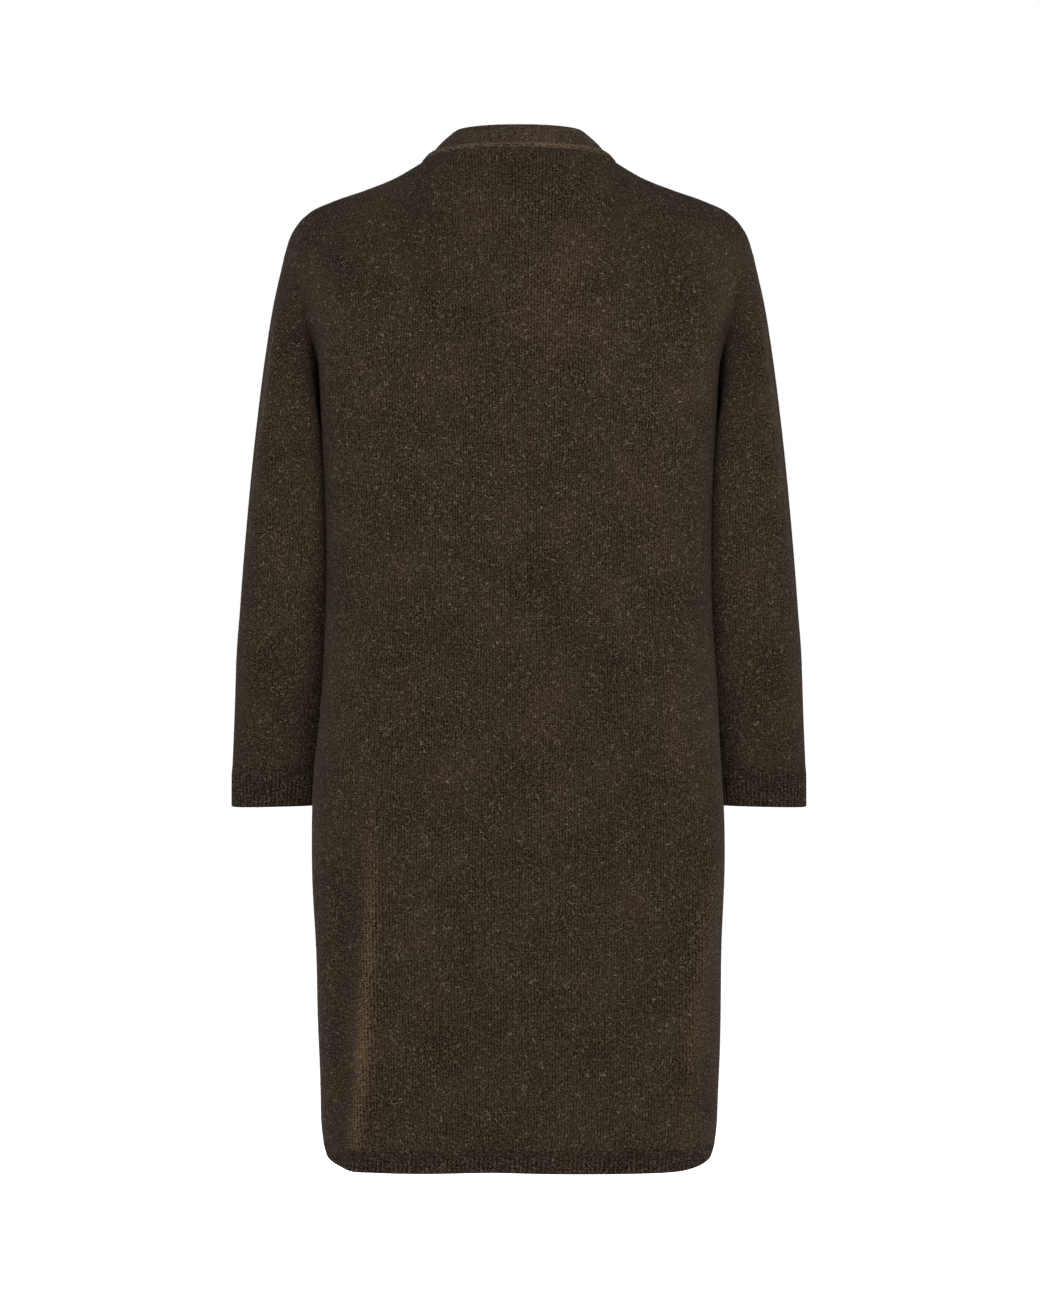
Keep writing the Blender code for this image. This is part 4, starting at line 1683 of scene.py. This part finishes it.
@dataclass
class Ribbing:
    """A ribbed edge: rounded ribs with narrow grooves between them."""

    flat: Pair
    pitch: float = 0.0042
    rise: float = 0.0009
    points_per_rib: int = 6
    rows: int = 6
    thickness: float = 0.0020
    curl: float = 0.0011
    curl_down: float = -0.25
    curl_lift: float = 0.35
    rib_fullness: float = 0.6
    flush_rows: float = 2.5
    plain_tone: float = 0.62
    tone_fullness: float = 0.7
    tone_rows: float = 2.0
    corner: float = 0.120
    corner_reach: float = 0.063
    corner_rise: float = 0.0084
    corner_power: float = 3.6

    def ribs_in(self, length: float) -> int:
        """How many whole ribs fit a length."""
        return max(1, round(length / self.pitch))

    def rounded(self, row: Array) -> Array:
        """Lifts the lower edge toward its two corners.

        Args:
            row: Points along the lower edge.

        Returns:
            The lifted points.
        """
        lifted = row.copy()
        part = np.clip((abs(row[:, 0]) - self.corner) / self.corner_reach, 0.0, 1.0)
        lifted[:, 2] += self.corner_rise * part**self.corner_power
        return lifted

    def ribbed(self, top: Array, bottom: Array, ribs: int, closed: bool) -> Array:
        """Raises ribs on the strip between two curves.

        Args:
            top: Fine points along the upper edge.
            bottom: Fine points along the lower edge.
            ribs: The number of ribs.
            closed: Whether the strip is a ring.

        Returns:
            Rows of points, from the lower edge up.
        """
        places = np.linspace(0.0, 1.0, ribs * self.points_per_rib + 1)
        upper = along(top, places)
        lower = along(bottom, places)
        wave = 0.5 - 0.5 * np.cos(2.0 * math.pi * places * ribs)
        crest = self.rise * (wave**self.rib_fullness)
        shares = np.linspace(0.0, 1.0, self.rows + 1)[:, None, None]
        grid = lower + (upper - lower) * shares
        flush = ease((1.0 - shares) * self.rows / self.flush_rows)
        if closed:
            ahead = np.roll(grid[:, :-1], -1, axis=1) - np.roll(grid[:, :-1], 1, axis=1)
            ahead = np.concatenate([ahead, ahead[:, :1]], axis=1)
        else:
            ahead = np.gradient(grid, axis=1)
        out = unit(np.stack([ahead[..., 1], -ahead[..., 0], np.zeros(ahead.shape[:2])], axis=2))
        grid = grid + out * crest[None, :, None] * flush
        turned = grid[0] - out[0] * self.curl + np.array([0.0, 0.0, self.curl_down * self.curl])
        grid[0, :, 2] += self.curl_lift * self.curl
        return np.concatenate([turned[None], grid])

    def crests(self, shape: tuple[int, int]) -> Array:
        """Finds how far each point lies on the crest of a rib, which sets the painted highlight on
        the crests and the painted shade in the grooves.

        Args:
            shape: The number of rows and columns.

        Returns:
            A share from 0 to 1 at each point.
        """
        places = np.arange(shape[1]) / self.points_per_rib
        wave = 0.5 - 0.5 * np.cos(2.0 * math.pi * places)
        full = np.clip(np.arange(shape[0])[::-1, None] / (self.rows / self.tone_rows), 0.0, 1.0)
        return self.plain_tone + (wave**self.tone_fullness - self.plain_tone) * full

    def finished(
        self, node: str, points: Array, side: Side, finish: Material, closed: bool = False
    ) -> Piece:
        """Makes the ribbed piece from its grid.

        Args:
            node: The solid that it stands for.
            points: Its grid for the left side.
            side: The side that it is on.
            finish: Its material.
            closed: Whether it is a ring.

        Returns:
            The piece.
        """
        cloth = laid_flat(lengths(points, 1), lengths(points, 0))
        if closed:
            points[:, -1] = points[:, 0]
        outward = mirrored(-grid_normals(points), side)
        points = mirrored(points, side)
        shape = knitted_shell(
            f"knit_{node}",
            points,
            cloth,
            self.thickness,
            finish,
            closed,
            inside_out=side is Side.RIGHT,
            crest=self.crests(cloth.shape[:2]),
        )
        return Piece(node, shape, "rib_wool", points, outward, self.flat)


@dataclass
class BackHem(Ribbing):
    """The ribbing along the back's hem, rounded up at its two corners."""

    flat: Pair = (0.560, 0.024)
    cut: Cut = CUT

    def build(self, back: BackPanel, finish: Material) -> Piece:
        """Models the ribbing.

        Args:
            back: The back that it finishes.
            finish: Its material.

        Returns:
            The piece.
        """
        curves = []
        for height in (self.cut.hem_rib_top, self.cut.hem):
            row = both_halves(self.cut.back_section(height))[::-1]
            normals = np.gradient(row, axis=0)
            out = unit(np.stack([normals[:, 1], -normals[:, 0], np.zeros(len(row))], axis=1))
            lift = back.fold_rise(row[None])[0]
            curves.append(row + out * lift[:, None])
        curves[1] = self.rounded(curves[1])
        length = np.linalg.norm(np.diff(curves[0], axis=0), axis=1).sum()
        points = self.ribbed(curves[0], curves[1], self.ribs_in(length), closed=False)
        return self.finished("hem_back", points, Side.LEFT, finish)


@dataclass
class FrontHem(Ribbing):
    """The ribbing along one front's hem."""

    flat: Pair = (0.400, 0.024)
    side: Side = Side.LEFT
    cut: Cut = CUT

    def build(self, front: FrontPanel, finish: Material) -> Piece:
        """Models the ribbing.

        Args:
            front: The front that it finishes.
            finish: Its material.

        Returns:
            The piece.
        """
        top = front.row(self.cut.hem_rib_top)[::-1]
        bottom = self.rounded(front.row(self.cut.hem)[::-1])
        length = np.linalg.norm(np.diff(top, axis=0), axis=1).sum()
        points = self.ribbed(top, bottom, self.ribs_in(length), closed=False)
        return self.finished(f"hem_front_{self.side.word}", points, self.side, finish)


@dataclass
class Cuff(Ribbing):
    """The ribbed cuff of one sleeve."""

    flat: Pair = (0.255, 0.041)
    side: Side = Side.LEFT
    rows: int = 10
    end: SleeveRing = SleeveRing(-0.619, 0.278, -0.617, 0.1925, -0.037, 0.037, 2.5, 3.2)

    def build(self, sleeve: Sleeve, finish: Material) -> Piece:
        """Models the cuff.

        Args:
            sleeve: The sleeve that it finishes.
            finish: Its material.

        Returns:
            The piece.
        """
        top = sleeve.ring_points(sleeve.rings[-1], CURVE_POINTS)
        bottom = sleeve.ring_points(self.end, CURVE_POINTS)
        length = np.linalg.norm(np.diff(top, axis=0), axis=1).sum()
        points = self.ribbed(top, bottom, self.ribs_in(length), closed=True)
        return self.finished(f"cuff_{self.side.word}", points, self.side, finish, closed=True)


@dataclass
class Studio:
    """The pale floor, the soft lights and the camera."""

    distance: float = 3.2
    eye_height: float = -0.4675
    aside: float = -0.001
    lens: float = 92.3
    floor_height: float = -1.42
    floor_size: float = 400.0
    white: Colour = (1.0, 1.0, 1.0, 1.0)
    background: float = 1.0
    air: float = 0.08
    lamps: tuple[Lamp, ...] = (
        Lamp("key", (-1.0, 2.2, 1.3), 42.0, 1.2),
        Lamp("fill", (0.9, 2.7, 1.0), 29.0, 1.4),
        Lamp("left_rim", (2.3, -0.7, 1.4), 22.0, 1.0),
        Lamp("right_rim", (-2.3, -0.7, 1.4), 22.0, 1.0),
        Lamp("front_fill", (0.6, -3.6, 0.4), 38.0, 2.0),
    )

    def build(self) -> None:
        """Sets up the studio."""
        self.add_floor()
        self.add_world()
        for lamp in self.lamps:
            self.add_light(lamp)
        self.add_camera()

    def add_floor(self) -> None:
        """Lays the floor."""
        shell = bmesh.new()
        bmesh.ops.create_grid(shell, x_segments=1, y_segments=1, size=self.floor_size / 2)
        bmesh.ops.translate(shell, verts=shell.verts[:], vec=(0.0, 0.0, self.floor_height))
        mesh = bpy.data.meshes.new("studio_floor")
        shell.to_mesh(mesh)
        shell.free()
        floor = bpy.data.objects.new("studio_floor", mesh)
        floor.data.materials.append(FloorFinish().build())
        bpy.context.scene.collection.objects.link(floor)

    def add_world(self) -> None:
        """Lights the background white and the air around the garment softly."""
        world = bpy.data.worlds.new("studio")
        world.use_nodes = True
        nodes = world.node_tree.nodes
        links = world.node_tree.links
        seen = nodes["Background"]
        soft = nodes.new("ShaderNodeBackground")
        for node, strength in ((seen, self.background), (soft, self.air)):
            node.inputs["Color"].default_value = self.white
            node.inputs["Strength"].default_value = strength
        path = nodes.new("ShaderNodeLightPath")
        mix = nodes.new("ShaderNodeMixShader")
        links.new(path.outputs["Is Camera Ray"], mix.inputs[0])
        links.new(soft.outputs[0], mix.inputs[1])
        links.new(seen.outputs[0], mix.inputs[2])
        links.new(mix.outputs[0], nodes["World Output"].inputs["Surface"])
        bpy.context.scene.world = world

    def add_light(self, lamp: Lamp) -> None:
        """Hangs a soft square light that faces the garment.

        Args:
            lamp: The light.
        """
        data = bpy.data.lights.new(lamp.name, "AREA")
        data.energy = lamp.power
        data.size = lamp.size
        light = bpy.data.objects.new(lamp.name, data)
        light.location = lamp.place
        aim = Vector((0.0, 0.0, self.eye_height)) - light.location
        light.rotation_euler = aim.to_track_quat("-Z", "Y").to_euler()
        bpy.context.scene.collection.objects.link(light)

    def add_camera(self) -> None:
        """Places the camera behind the garment, level with its middle."""
        data = bpy.data.cameras.new("camera")
        data.lens = self.lens
        camera = bpy.data.objects.new("camera", data)
        camera.location = (self.aside, self.distance, self.eye_height)
        camera.rotation_euler = (math.radians(90.0), 0.0, math.radians(180.0))
        bpy.context.scene.collection.objects.link(camera)
        bpy.context.scene.camera = camera
        bpy.context.scene.view_settings.view_transform = "Standard"


def main() -> None:
    """Builds the studio and every piece of the cardigan in order."""
    logging.basicConfig(level=logging.INFO, format="%(name)s %(message)s")
    Studio().build()
    wool = JERSEY_WOOL.build()
    rib_wool = RIB_WOOL.build()
    band_wool = BAND_WOOL.build()
    back = BackPanel()
    pieces = [back.build(wool), NeckBand().build(band_wool), BackHem().build(back, rib_wool)]
    for side in Side:
        front = FrontPanel(side)
        sleeve = Sleeve(side)
        pieces.append(front.build(wool))
        pieces.append(FrontBand(side=side).build(front, band_wool))
        pieces.append(FrontHem(side=side).build(front, rib_wool))
        pieces.append(sleeve.build(wool))
        pieces.append(Cuff(side=side).build(sleeve, rib_wool))
    fibres = NapFinish().build()
    for seed, piece in enumerate(pieces):
        piece.add_fibres(FIBRES_A_SQUARE_METRE, seed, fibres)
        piece.declare()


if __name__ == "__main__":
    main()
